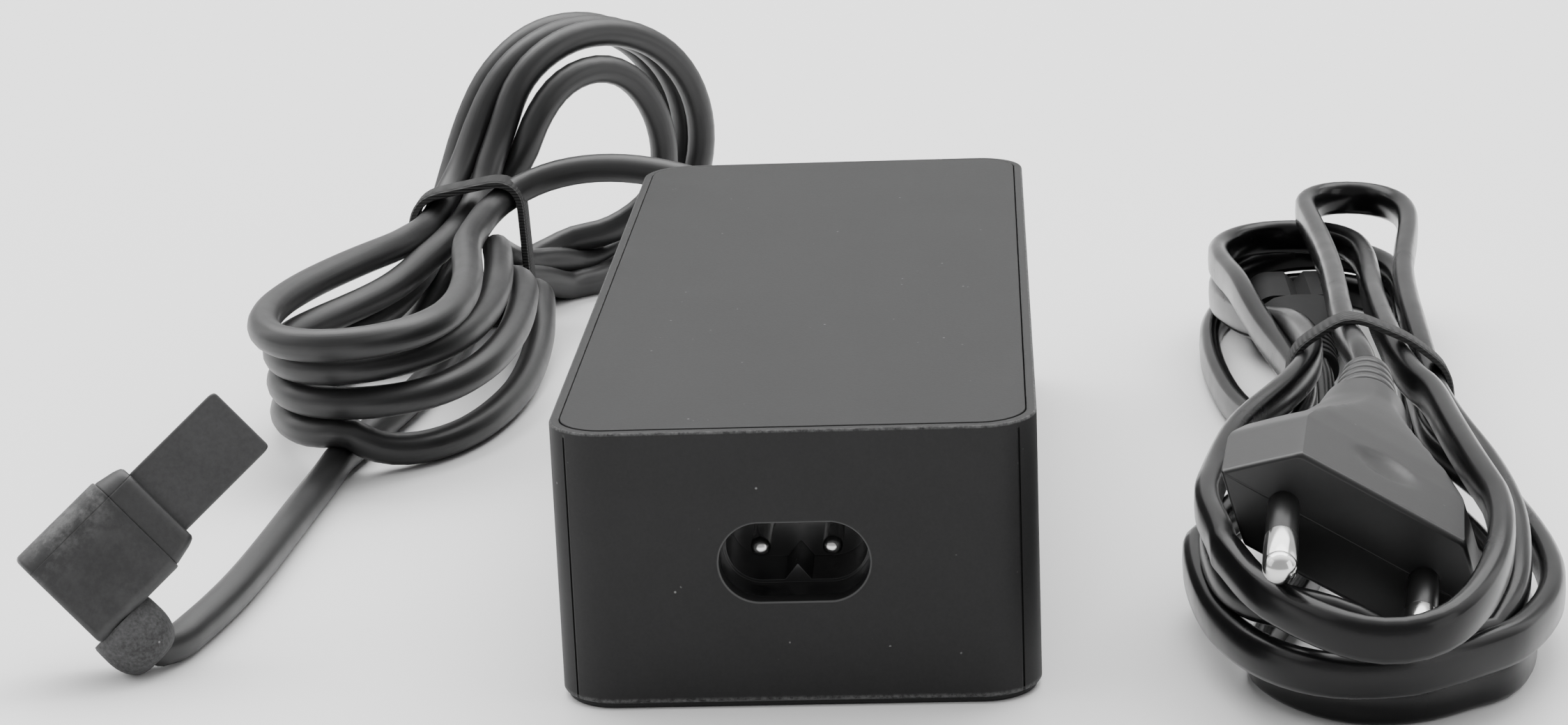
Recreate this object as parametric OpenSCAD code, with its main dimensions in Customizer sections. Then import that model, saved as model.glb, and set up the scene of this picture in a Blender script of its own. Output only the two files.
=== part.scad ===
// Laptop power adapter: a sealed moulded case with a two-pin mains inlet, a board of
// power electronics inside, a captive output lead with a rectangular plug, and a
// detachable mains lead with a flat two-pin plug and a figure-8 connector.
// Millimetres, +Z up, origin at the middle of the case's underside, inlet face at -Y.

/* [Case] */
// Width of the case across the inlet face
case_w = 57.7; // [56.5:0.1:70]
// Length of the case from the inlet face to the output face
case_l = 141; // [139:0.5:170]
// Height of the case from the underside to the rim
case_h = 34.5; // [34.5:0.5:44]
// Radius of the upright corners
corner_r = 7; // [5:0.5:10]
// Thickness of the moulded walls
wall_t = 2.2; // [1.8:0.1:2.6]
// Rounding of the outer top edge of the rim
edge_r = 0.4; // [0.2:0.1:0.8]

/* [Top panel] */
// Width of the rim that frames the top panel
rim_w = 1.8; // [1.4:0.1:2.2]
// Visible groove between the rim and the top panel
groove_w = 0.35; // [0.2:0.05:0.6]
// Thickness of the top panel
panel_t = 2; // [1.6:0.1:2.6]
// How far the top panel lies below the rim
panel_drop = 0.1; // [0:0.05:0.5]
// Depth of the ledge that carries the top panel
ledge_d = 1.4; // [1.2:0.1:2]
// Thickness of that ledge
ledge_t = 1.6; // [1.2:0.1:2.2]

/* [Bottom cover] */
// Height of the step between the underside and the walls
base_step = 0.8; // [0.5:0.1:1.5]
// Inset of the bottom cover's edge from the walls
base_inset = 0.5; // [0.3:0.1:1]
// Thickness of the bottom cover
base_t = 2.2; // [1.8:0.1:2.8]
// Height of the rib that locates the bottom cover in the walls
base_rib_h = 1.6; // [1:0.1:2.4]
// Diameter of the posts that carry the circuit board
post_d = 5; // [4:0.5:6]

/* [Mains inlet] */
// Width of the inlet's mouth
inlet_w = 17.8; // [17:0.1:19]
// Height of the inlet's mouth
inlet_h = 9.7; // [9.2:0.1:10.5]
// Height of the inlet's centre line above the underside
inlet_z = 18.2; // [17.5:0.1:20]
// Bevel round the mouth
inlet_bevel = 0.35; // [0.2:0.05:0.6]
// Depth of the plain mouth before the figure-8 section starts
inlet_mouth_d = 6.8; // [5:0.1:8]
// Depth of the inlet's floor behind the face
inlet_depth = 15.3; // [14:0.1:17]
// Step from the mouth to the figure-8 section
inlet_step = 0.4; // [0.2:0.05:0.6]
// Height of the keying ridges above and below
ridge_h = 2; // [1.4:0.1:2.4]
// Width of the keying ridges at their base
ridge_w = 3.2; // [2:0.1:4]
// Diameter of the inlet pins
inlet_pin_d = 2.4; // [2:0.1:2.6]
// Distance between the inlet pins
inlet_pitch = 8.6; // [8:0.1:9]
// Distance of the pin tips behind the face
inlet_pin_back = 5; // [3:0.1:6]

/* [Circuit board] */
// Height of the circuit board's underside
board_z = 8; // [7:0.1:8.5]
// Thickness of the circuit board
board_t = 1.6; // [1:0.1:2]
// Free space between the board and the side walls
board_side = 1.65; // [1.2:0.05:2.5]
// Free space between the board and the rear wall
board_rear = 8.3; // [7:0.1:12]
// Diameter of the component leads
lead_d = 0.8; // [0.6:0.1:1]
// Radial room for a lead in its hole
lead_gap = 0.2; // [0.1:0.05:0.3]

/* [Power parts] */
// Free height between the bulk capacitor and the heat sinks' top
bulk_gap = 2.4; // [2.4:0.2:6]
// Free space between the bulk capacitor and the transformer
part_gap = 1; // [0.6:0.1:3]
// Free height above the line choke's winding
ring_gap = 0.9; // [0.5:0.1:4]
// Width of the transformer core
core_w = 28; // [26:0.5:28]
// Free height between the transformer core and the heat sinks' top
core_gap = 0.6; // [0.4:0.1:3]
// Thickness of the transformer core
core_t = 11; // [9:0.5:12]
// Thickness of the heat sink sheet
sink_t = 1.5; // [1:0.1:2]
// Length of the primary heat sink
sink_l = 30; // [24:1:32]
// Thickness of the heat spreader under the top panel
spreader_t = 1.2; // [0.8:0.1:1.5]
// Thickness of the thermal pads on the heat sinks
pad_t = 1; // [0.6:0.1:1.6]

/* [Output cord] */
// Diameter of the round output cord
dc_d = 4.8; // [4.2:0.1:5.6]
// Height of the output cord's exit above the underside
relief_z = 17; // [14:0.5:19]
// Length of the strain relief outside the case
relief_l = 14; // [10:0.5:20]
// Diameter of the strain relief's shoulder
relief_d = 11.4; // [10.4:0.1:13]

/* [Output plug] */
// Width of the plug's body
plug_w = 14.8; // [13:0.1:17]
// Length of the plug's body
plug_l = 13.4; // [12:0.1:18]
// Thickness of the plug's body
plug_t = 10; // [9:0.1:12]
// Length of the tapered collar in front of the body
collar_l = 3.8; // [3:0.1:6]
// Width of the rectangular tip
tip_w = 9.9; // [9:0.1:11.5]
// Thickness of the rectangular tip
tip_t = 5.2; // [4.6:0.1:6]
// Length of the rectangular tip
tip_l = 14.6; // [12:0.1:16]

/* [Mains plug] */
// Width of the mains plug's pin face
euro_w = 35.3; // [34:0.1:36]
// Thickness of the mains plug's pin face
euro_h = 13.7; // [13:0.1:14.5]
// Length of the mains plug's body
euro_l = 41; // [38:0.5:44]
// Diameter of the bare pin ends
euro_pin_d = 4; // [3.9:0.05:4.1]
// Length of the pins
euro_pin_l = 19; // [18.5:0.5:19.5]
// Length of the insulating sleeves
euro_sleeve_l = 10; // [9:0.5:11]
// Diameter of the insulating sleeves
euro_sleeve_d = 3.8; // [3.4:0.1:3.8]
// Distance between the pins at the face
euro_pitch = 18.6; // [18:0.1:19.2]
// Distance between the pin ends
euro_tip_pitch = 17.5; // [17:0.1:18]

/* [Mains cord] */
// Wide side of the flat mains cord
ac_w = 5.4; // [5:0.1:6]
// Narrow side of the flat mains cord
ac_t = 3.2; // [2.8:0.1:3.6]
// Length of the mains strain reliefs
ac_relief_l = 14; // [10:0.5:18]
// Length of the connector's grip
grip_l = 17; // [14:0.5:24]

/* [Clearances] */
// Gap between a locating rib and its wall
rib_gap = 0.15; // [0.1:0.05:0.3]
// Radial gap round a pin in its moulding
pin_gap = 0.05; // [0.02:0.01:0.1]
// Gap round the figure-8 connector in the inlet
mate_gap = 0.35; // [0.2:0.05:0.5]
// Gap between a clamped part and its seat
seat_gap = 0.1; // [0.05:0.05:0.2]

/* [Hidden] */
$fn = 48;

black = "#2b2b2d";
dark = "#39393b";
metal = "#c9ccd0";
copper = "#b8693a";
ferrite = "#3a3a40";

// Heights in the case
seat_z = case_h - panel_drop - panel_t;      // top of the ledge, underside of the panel
ledge_z = seat_z - ledge_t;
ledge_in = rim_w + ledge_d;                  // inner edge of the ledge from the outside
spreader_z = seat_z - spreader_t;            // underside of the heat spreader
sink_z = spreader_z - pad_t;                 // top of the heat sinks
top_z = board_z + board_t;                   // surface of the circuit board
room_h = sink_z - top_z;                     // free height for the power parts
core_z = top_z + 0.4;                        // underside of the transformer core
core_h = sink_z - core_z - core_gap;
bulk_d = room_h - 0.2 - bulk_gap;
wire_t = 1.2;                                // thickness of the line choke's winding
ring_d = spreader_z - top_z - 1.3 - 2 * wire_t - ring_gap;

// Outline of the circuit board
in = wall_t;                                 // distance from the outside to the wall
board_w = case_w - 2 * (in + board_side);
board_f = -case_l / 2 + in + 0.8;            // front edge
board_b = case_l / 2 - in - board_rear;      // rear edge
bx_l = -board_w / 2;
bx_r = board_w / 2;
posts = [for (x = [bx_l + 3.4, bx_r - 3.4], y = [board_f + 31, board_b - 3.4]) [x, y]];
stud_d = 2.2;                                // pins on the posts
stud_gap = 0.2;
rib_y = [for (k = [0 : 4]) board_f + 18 + k * (board_b - board_f - 30) / 4];

// ---------------------------------------------------------------- shared shapes

// Rounded rectangle with true arcs
module rrect2d(w, l, r) {
    square([w - 2 * r, l], center = true);
    square([w, l - 2 * r], center = true);
    for (x = [-1, 1], y = [-1, 1]) translate([x * (w / 2 - r), y * (l / 2 - r)]) circle(r);
}

// Slot with round ends
module stadium2d(w, h) {
    square([w - h, h], center = true);
    for (s = [-1, 1]) translate([s * (w - h) / 2, 0]) circle(h / 2);
}

// Arc as polygon points
function arc(c, r, a0, a1, n) =
    [for (i = [0 : n]) c + r * [cos(a0 + (a1 - a0) * i / n), sin(a0 + (a1 - a0) * i / n)]];

// A wall section carried round a rounded rectangle. Its points are
// [distance inwards from the outside, height].
module swept(w, l, r, section) {
    for (a = [0, 90, 180, 270]) {
        side = a % 180 == 0 ? w : l;
        run = (a % 180 == 0 ? l : w) - 2 * r;
        rotate([0, 0, a]) {
            translate([side / 2, 0, 0]) rotate([90, 0, 0])
                linear_extrude(run, center = true) polygon([for (p = section) [-p.x, p.y]]);
            translate([side / 2 - r, run / 2, 0])
                rotate_extrude(angle = 90) polygon([for (p = section) [r - p.x, p.y]]);
        }
    }
}

// Flat plate with a rounded top edge and a bevelled lower edge
module edged_plate(w, l, r, t, top_r, low_c) {
    section = concat([[low_c, 0], [0, low_c]],
        arc([top_r, t - top_r], top_r, 180, 90, 4), [[r, t], [r, 0]]);
    swept(w, l, r, section);
    translate([0, 0, t / 2]) cube([w - 2 * r, l - 2 * r, t], center = true);
}

// Round moulding with ribs, tapering from d0 to d1 along +Z
module ribbed_tail(d0, d1, l, ribs) {
    p = l / ribs;
    section = concat([[0, 0]],
        [for (i = [0 : ribs - 1]) let (a = d0 + (d1 - d0) * i / ribs, b = a - 1.3)
            each [[a / 2 - 0.25, i * p], [a / 2, i * p + 0.25], [a / 2 - 0.08, (i + 0.62) * p],
                [b / 2, (i + 0.7) * p], [b / 2, (i + 1) * p]]],
        [[0, l]]);
    rotate_extrude() polygon(section);
}

// Cord swept along hand-set route points, smoothed by a Catmull-Rom curve.
// Its section is an oval w x t whose wide side stands upright.
function cat(p0, p1, p2, p3, t) = 0.5 * (2 * p1 + (p2 - p0) * t
    + (2 * p0 - 5 * p1 + 4 * p2 - p3) * t * t + (3 * p1 - p0 - 3 * p2 + p3) * t * t * t);
function route(p, k) = let (n = len(p)) [for (i = [0 : n - 2], j = [0 : k - 1])
    cat(p[max(i - 1, 0)], p[i], p[i + 1], p[min(i + 2, n - 1)], j / k), p[n - 1]];
function unit(v) = v / norm(v);
module cord(points, w, t, sides, k = 2, up = [0, 0, 1]) {
    c = route(points, k);
    n = len(c);
    rings = [for (i = [0 : n - 1]) let (
        d = unit(c[min(i + 1, n - 1)] - c[max(i - 1, 0)]),
        s = unit(cross(d, up)),
        u = cross(s, d))
        each [for (j = [0 : sides - 1]) let (a = 360 * (j + 0.5) / sides)
            c[i] + s * cos(a) * t / 2 + u * sin(a) * w / 2]];
    faces = concat([[for (j = [0 : sides - 1]) j]],
        [for (i = [0 : n - 2], j = [0 : sides - 1]) let (
            a = i * sides + j, b = i * sides + (j + 1) % sides)
            each [[a, a + sides, b + sides], [a, b + sides, b]]],
        [[for (j = [sides - 1 : -1 : 0]) (n - 1) * sides + j]]);
    polyhedron(rings, faces, convexity = 6);
}

// Solid through stations [z, half width, half thickness, roundness] along +Z.
// Roundness 0 is a flat hexagon with sharp sides, 1 an ellipse.
function station(s, n) = [for (j = [0 : n - 1]) let (
    a = 360 * j / n, w = s[1], h = s[2], f = max(w - h, 0.2),
    q = abs(cos(a)), e = abs(sin(a)),
    hex = w * q < f * e ? [w * q / e, h] : [w * w * q, w * h * e] / (w * q + (w - f) * e),
    m = s[3])
    [sign(round(1000 * cos(a))) * ((1 - m) * hex.x + m * w * q),
     sign(round(1000 * sin(a))) * ((1 - m) * hex.y + m * h * e), s[0]]];
module loft(stations, n) {
    k = len(stations);
    points = [for (s = stations) each station(s, n)];
    faces = concat([[for (j = [0 : n - 1]) j]],
        [for (i = [0 : k - 2], j = [0 : n - 1]) let (
            a = i * n + j, b = i * n + (j + 1) % n)
            each [[a, a + n, b + n], [a, b + n, b]]],
        [[for (j = [n - 1 : -1 : 0]) (k - 1) * n + j]]);
    polyhedron(points, faces, convexity = 4);
}

// Upright leads through the board, at [x, y] points
module leads(points, z) {
    for (p = points) translate([p.x, p.y, board_z - 1.5])
        cylinder(d = lead_d, h = z - board_z + 1.5, $fn = 16);
}

// ---------------------------------------------------------------- case

// Mouth of the inlet with its bevel, drawn along +Z into the face
module inlet_mouth(depth) {
    linear_extrude(depth) stadium2d(inlet_w, inlet_h);
    b = inlet_bevel;
    for (s = [-1, 1]) translate([s * (inlet_w - inlet_h) / 2, 0, 0])
        cylinder(r1 = inlet_h / 2 + b, r2 = inlet_h / 2, h = b);
    rotate([0, 90, 0]) linear_extrude(inlet_w - inlet_h, center = true)
        polygon([[0, -inlet_h / 2 - b], [0, inlet_h / 2 + b], [-b, inlet_h / 2],
            [-b, -inlet_h / 2]]);
}

module at_inlet() {
    translate([0, -case_l / 2, inlet_z]) rotate([-90, 0, 0]) children();
}

relief_hole_d = 9;
module housing() color(dark) {
    difference() {
        union() {
            swept(case_w, case_l, corner_r, concat(
                [[base_inset * 0.6, base_step], [0, base_step + base_inset * 0.6]],
                arc([edge_r, case_h - edge_r], edge_r, 180, 90, 4),
                [[rim_w - 0.15, case_h], [rim_w, case_h - 0.15], [rim_w, seat_z],
                 [ledge_in, seat_z], [ledge_in, ledge_z], [in, ledge_z - (ledge_in - in)],
                 [in, base_step]]));
            // Upright ribs that guide the edges of the board
            rib_z = base_t + base_rib_h + 1;
            for (s = [-1, 1], y = rib_y)
                translate([s * (case_w / 2 - in - board_side / 2 + seat_gap), y,
                    (rib_z + ledge_z - ledge_d) / 2])
                    cube([board_side - seat_gap * 2 + 0.2, 1.4, ledge_z - ledge_d - rib_z],
                        center = true);
        }
        at_inlet() inlet_mouth(in + 1);
        // Hole for the strain relief in the rear wall
        translate([0, case_l / 2 - in - 1, relief_z]) rotate([-90, 0, 0])
            cylinder(d = relief_hole_d, h = in + 2);
    }
}

module top_cover() color(dark) {
    inset = rim_w + groove_w;
    translate([0, 0, seat_z])
        edged_plate(case_w - 2 * inset, case_l - 2 * inset, corner_r - inset, panel_t,
            0.3, 0.2);
}

// Bottom cover: edge, spigot and locating rib in one section, a floor inside them and
// stepped posts whose studs hold the board
module bottom_cover() color(dark) {
    spigot = in + rib_gap;
    rib_z = base_t + base_rib_h;
    swept(case_w, case_l, corner_r, [[base_inset + 0.3, 0], [base_inset, 0.3],
        [base_inset, base_step], [spigot, base_step], [spigot, rib_z - 0.4],
        [spigot + 0.4, rib_z], [spigot + 1.4, rib_z], [spigot + 1.4, base_t],
        [corner_r, base_t], [corner_r, 0]]);
    translate([0, 0, base_t / 2])
        cube([case_w - 2 * corner_r, case_l - 2 * corner_r, base_t], center = true);
    for (p = posts) translate([p.x, p.y, 0]) rotate_extrude()
        polygon([[0, base_t - 0.5], [post_d / 2 + 1.5, base_t - 0.5],
            [post_d / 2 + 1.5, base_t], [post_d / 2, base_t + 1.5], [post_d / 2, board_z],
            [stud_d / 2, board_z], [stud_d / 2, top_z + 0.5], [stud_d / 2 - 0.3, top_z + 0.8],
            [0, top_z + 0.8]]);
}

// ---------------------------------------------------------------- mains inlet

// Figure-8 outline: a slot with a V ridge above and below its middle
module figure8_2d(w, h, rh, rw) {
    difference() {
        stadium2d(w, h);
        for (s = [-1, 1]) translate([0, s * h / 2])
            polygon([[-rw / 2, s * 0.01], [0, -s * rh], [rw / 2, s * 0.01]]);
    }
}

inlet_block_w = inlet_w + 3.6;
inlet_block_top = inlet_z + inlet_h / 2 + 1.56;
inlet_back = inlet_depth + 1.9;
module ac_inlet() color(black) {
    difference() {
        union() {
            // Body that stands on the board behind the wall
            translate([-inlet_block_w / 2, -case_l / 2 + in, top_z])
                cube([inlet_block_w, inlet_back - in, inlet_block_top - top_z]);
            // Flange against the inside of the wall
            translate([-inlet_block_w / 2 - 1.4, -case_l / 2 + in, top_z])
                cube([inlet_block_w + 2.8, 1.4, inlet_block_top - top_z + 1.4]);
            // Locating feet beside the pin legs
            for (s = [-1, 1]) translate([s * 7.6, -case_l / 2 + inlet_back - 4, top_z - 1.2])
                cylinder(d = 1.8, h = 2, $fn = 24);
        }
        at_inlet() {
            translate([0, 0, in - 1]) linear_extrude(inlet_mouth_d - in + 1)
                stadium2d(inlet_w, inlet_h);
            translate([0, 0, inlet_mouth_d - 0.5])
                linear_extrude(inlet_depth - inlet_mouth_d + 0.5)
                figure8_2d(inlet_w - 2 * inlet_step, inlet_h - 2 * inlet_step, ridge_h, ridge_w);
            for (s = [-1, 1]) translate([s * inlet_pitch / 2, 0, inlet_depth - 1])
                cylinder(d = inlet_pin_d + 2 * pin_gap, h = 4);
        }
    }
}

leg_y = -case_l / 2 + inlet_back + 1.2;
module inlet_pins() color(metal) {
    for (s = [-1, 1]) translate([s * inlet_pitch / 2, -case_l / 2, inlet_z]) {
        // Round pin with a domed tip
        rotate([-90, 0, 0]) rotate_extrude() {
            r = inlet_pin_d / 2;
            polygon(concat([[0, inlet_pin_back]],
                [for (q = arc([0, inlet_pin_back + r], r, -84, 0, 7)) q],
                [[r, inlet_back + 1.2], [0, inlet_back + 1.2]]));
        }
        // Flat leg down to the board
        translate([-0.8, inlet_back + 0.6, board_z - 1.5 - inlet_z])
            cube([1.6, 1.2, inlet_z - board_z + 1.5 + 0.8]);
    }
}

// ---------------------------------------------------------------- board and parts

// Places of the parts on the board: those of the mains side from the front edge,
// those of the output side from the rear edge
trafo_at = [-1.2, board_b - 34];
bulk_l = trafo_at.y - (core_t + 15) / 2 - part_gap - board_f - 44.5;
fuse_at = [bx_r - 4.5, board_f + 14.5];
ntc_at = [bx_l + 6, board_f + 7.5];
xcap_at = [bx_r - 15, board_f + 25.5];
choke_at = [bx_l + 12, board_f + 24.5];
bridge_at = [0, board_f + 40];
bulk_at = [bx_l + 1.5 + bulk_d / 2, board_f + 44.5 + bulk_l / 2];
sink1_at = [bx_r - 2.5, board_f + 60.5];
fet_at = [sink1_at.x, sink1_at.y - 5];
pfc_at = [7, board_f + 59.5];
ctrl_at = [bx_r - 8, board_f + 77.5];
sink2_at = [bx_l + 2.5, board_b - 16.5];
rect_at = [sink2_at.x, board_b - 12];
ocap_at = [[2.5, board_b - 8], [14, board_b - 8]];
ochoke_at = [-9, board_b - 7.5];
ycap_at = [bx_r - 6.5, board_b - 36];
opto_at = [bx_r - 6.5, board_b - 26];
wire_at = [[-2.6, board_b - 1.5], [2.6, board_b - 1.5]];

fuse_l = 20;
fuse_leads = [for (s = [-1, 1]) fuse_at + [0, s * (fuse_l / 2 + 1.5)]];
ntc_leads = [for (s = [-1, 1]) ntc_at + [0, s * 2.5]];
xcap_leads = [for (s = [-1, 1]) xcap_at + [0, s * 7.5]];
choke_leads = [for (x = [-1, 1], y = [-1, 1]) choke_at + [x * 5, y * 4.2]];
bridge_leads = [for (k = [-1.5 : 1.5]) bridge_at + [k * 5, 0]];
bulk_leads = [for (s = [-1, 1]) bulk_at + [s * 3.75, -bulk_l / 2 - 1.2]];
to220_leads = [for (k = [-1, 0, 1]) [-3.2, k * 2.54]];
pfc_leads = [for (s = [-1, 1]) pfc_at + [s * 3.5, 0]];
trafo_leads = [for (k = [-1.5 : 1.5], s = [-1, 1]) trafo_at + [k * 5, s * 11.2]];
ocap_leads = [for (p = ocap_at, s = [-1, 1]) p + [0, s * 2.5]];
ochoke_leads = [for (s = [-1, 1]) ochoke_at + [s * 2.5, 0]];
ycap_leads = [for (s = [-1, 1]) ycap_at + [0, s * 3.5]];
opto_leads = [for (x = [-1, 1], y = [-1, 1]) opto_at + [x * 3.8, y * 1.27]];
ctrl_leads = [for (k = [-2 : 2]) ctrl_at + [k * 2.54, 0]];
all_leads = concat(fuse_leads, ntc_leads, xcap_leads, choke_leads, bridge_leads,
    bulk_leads, [for (p = to220_leads) fet_at + p], [for (p = to220_leads) rect_at - [p.x, p.y]],
    pfc_leads, trafo_leads, ocap_leads, ochoke_leads, ycap_leads, opto_leads, ctrl_leads);

module circuit_board() color("#2e6b3c") {
    difference() {
        translate([bx_l, board_f, board_z]) cube([board_w, board_b - board_f, board_t]);
        // Rounded corners at the front, where the case corners come in
        for (s = [-1, 1]) translate([s * bx_r, board_f, board_z - 1])
            difference() {
                cube([6, 6, 10], center = true);
                translate([-s * 3, 3, -6]) cylinder(r = 3, h = 12);
            }
        for (p = posts) translate([p.x, p.y, board_z - 1])
            cylinder(d = stud_d + 2 * stud_gap, h = board_t + 2, $fn = 24);
        for (p = all_leads) translate([p.x, p.y, board_z - 1])
            cylinder(d = lead_d + 2 * lead_gap, h = board_t + 2, $fn = 16);
        for (p = wire_at) translate([p.x, p.y, board_z - 1])
            cylinder(d = 2.4, h = board_t + 2, $fn = 24);
        // Slots for the inlet's legs and feet
        for (s = [-1, 1]) {
            translate([s * inlet_pitch / 2 - 1.1, leg_y - 0.9, board_z - 1])
                cube([2.2, 1.8, board_t + 2]);
            translate([s * 7.6, -case_l / 2 + inlet_back - 4, board_z - 1])
                cylinder(d = 2.2, h = board_t + 2, $fn = 24);
        }
    }
}

// Glass cartridge fuse with end caps and bent wires
module fuse() color(metal) {
    z = top_z + 3.4;
    translate([fuse_at.x, fuse_at.y, z]) rotate([90, 0, 0]) {
        cylinder(d = 4.7, h = fuse_l - 2, center = true);
        for (s = [-1, 1]) translate([0, 0, s * (fuse_l / 2 - 2.5)])
            cylinder(d = 5.2, h = 5, center = true);
        cylinder(d = lead_d, h = fuse_l + 3 + lead_d, center = true, $fn = 16);
    }
    leads(fuse_leads, z);
}

// Disc with a rounded rim
module disc(d, t) {
    rotate_extrude() polygon(concat([[0, -t / 2]],
        arc([d / 2 - t / 2, 0], t / 2, -90, 90, 8), [[0, t / 2]]));
}

module inrush_thermistor() color("#3f5a46") {
    translate([ntc_at.x, ntc_at.y, top_z + 7]) rotate([0, 90, 0]) disc(11, 4);
    leads(ntc_leads, top_z + 4);
}

module y_capacitor() color("#2f6fb0") {
    translate([ycap_at.x, ycap_at.y, top_z + 6]) rotate([0, 90, 0]) disc(9, 3.6);
    leads(ycap_leads, top_z + 5);
}

module x_capacitor() color("#d9b233") {
    translate([xcap_at.x, xcap_at.y, top_z]) linear_extrude(room_h - 5.6)
        rrect2d(8, 18, 0.6);
    leads(xcap_leads, top_z + 1);
}

// Ring-core line choke standing on a moulded base
ring_in = 9;
ring_t = 7;
ring_z = top_z + 1.2 + ring_d / 2 + wire_t + 0.1;
module at_choke() {
    translate([choke_at.x, choke_at.y, ring_z]) rotate([90, 0, 0]) children();
}
module line_choke_core() color(ferrite) {
    at_choke() rotate_extrude() translate([ring_in / 2, -ring_t / 2])
        polygon([[0, 0.4], [0.4, 0], [(ring_d - ring_in) / 2 - 0.4, 0],
            [(ring_d - ring_in) / 2, 0.4], [(ring_d - ring_in) / 2, ring_t - 0.4],
            [(ring_d - ring_in) / 2 - 0.4, ring_t], [0.4, ring_t], [0, ring_t - 0.4]]);
}
module line_choke_base() color(black) {
    at = [choke_at.x, choke_at.y];
    difference() {
        translate([at.x, at.y, top_z + 0.6]) cube([ring_d - 1, 11.4, 1.2],
            center = true);
        for (p = choke_leads) translate([p.x, p.y, top_z - 1])
            cylinder(d = lead_d + 2 * lead_gap, h = 4, $fn = 16);
    }
    // Web through the ring that keeps the two windings apart
    translate([at.x, at.y, (top_z + ring_z - ring_d / 2) / 2])
        cube([1, ring_t, ring_z - ring_d / 2 - top_z - seat_gap], center = true);
}
module line_choke_windings() color(copper) {
    w = wire_t;
    at_choke() for (a = [-62, 118]) rotate([0, 0, a]) rotate_extrude(angle = 124)
        translate([ring_in / 2, 0]) difference() {
            translate([(ring_d - ring_in) / 4, 0])
                square([(ring_d - ring_in) / 2 + 2 * w, ring_t + 2 * w], center = true);
            translate([(ring_d - ring_in) / 4, 0])
                square([(ring_d - ring_in) / 2 + 0.2, ring_t + 0.2], center = true);
        }
    for (p = choke_leads) {
        translate([p.x, p.y, board_z - 1.5])
            cylinder(d = lead_d, h = ring_z - board_z - ring_d / 2 + 4.4, $fn = 16);
    }
}

module bridge_rectifier() color(black) {
    translate([bridge_at.x, bridge_at.y, top_z + 3]) rotate([90, 0, 0])
        linear_extrude(4, center = true)
        polygon([[-10, 0], [10, 0], [10, room_h - 5.6], [-7.5, room_h - 5.6],
            [-10, room_h - 8.1]]);
    leads(bridge_leads, top_z + 4);
}

// Aluminium can with a crimp groove near its seal, standing on +Z
module can(d, l) {
    r = d / 2;
    rotate_extrude() polygon([[0, 0], [r - 0.7, 0], [r, 0.7], [r, 2.2], [r - 0.6, 2.8],
        [r, 3.4], [r, l - 0.9], [r - 0.9, l], [r * 0.7, l], [r * 0.7, l - 0.3], [0, l - 0.3]]);
}

module bulk_capacitor() color("#26364f") {
    translate([bulk_at.x, bulk_at.y - bulk_l / 2, top_z + 0.2 + bulk_d / 2])
        rotate([-90, 0, 0]) can(bulk_d, bulk_l);
    for (s = [-1, 1]) translate([bulk_at.x + s * 3.75, bulk_at.y - bulk_l / 2,
        top_z + 0.2 + bulk_d / 2])
        rotate([90, 0, 0]) cylinder(d = lead_d, h = 1.2 + lead_d / 2, $fn = 16);
    leads(bulk_leads, top_z + 0.2 + bulk_d / 2);
}

module output_capacitors() color("#26364f") {
    for (p = ocap_at) translate([p.x, p.y, top_z]) can(10, room_h - 4.6);
    leads(ocap_leads, top_z + 0.5);
}

// Drum choke: two flanges and the winding between them
module drum(d, h, f) {
    rotate_extrude() polygon([[0, 0], [d / 2 - 0.3, 0], [d / 2, 0.3], [d / 2, f],
        [d / 2 - 0.9, f + 0.1], [d / 2 - 0.9, h - f - 0.1], [d / 2, h - f], [d / 2, h - 0.3],
        [d / 2 - 0.3, h], [0, h]]);
}
module pfc_choke() color(ferrite) {
    translate([pfc_at.x, pfc_at.y, top_z]) drum(15.4, room_h - 3.6, 2);
    leads(pfc_leads, top_z + 0.5);
}
module output_choke() color(ferrite) {
    translate([ochoke_at.x, ochoke_at.y, top_z]) drum(9, room_h / 2 - 0.3, 1.4);
    leads(ochoke_leads, top_z + 0.5);
}

// Heat sinks: sheet bent to an L whose top lies under the thermal pad
screw_z = sink_z - 5;
fet_z = top_z + 3;                           // underside of the power semiconductors

sink_top_w = 7;
module primary_heat_sink() color(metal) {
    difference() {
        translate([sink1_at.x, sink1_at.y, 0]) rotate([90, 0, 0])
            linear_extrude(sink_l, center = true)
            polygon([[-sink_t / 2, top_z], [sink_t / 2, top_z], [sink_t / 2, sink_z],
                [-sink_top_w, sink_z], [-sink_top_w, sink_z - sink_t],
                [-sink_t / 2, sink_z - sink_t]]);
        translate([fet_at.x, fet_at.y, screw_z]) rotate([0, 90, 0])
            cylinder(d = 3.2, h = 6, center = true, $fn = 32);
    }
}
module secondary_heat_sink() color(metal) {
    difference() {
        translate([sink2_at.x, sink2_at.y, 0]) rotate([90, 0, 0])
            linear_extrude(22, center = true)
            polygon([[sink_t / 2, top_z], [-sink_t / 2, top_z], [-sink_t / 2, sink_z],
                [sink_top_w, sink_z], [sink_top_w, sink_z - sink_t],
                [sink_t / 2, sink_z - sink_t]]);
        translate([rect_at.x, rect_at.y, screw_z]) rotate([0, 90, 0])
            cylinder(d = 3.2, h = 6, center = true, $fn = 32);
    }
}

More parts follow.
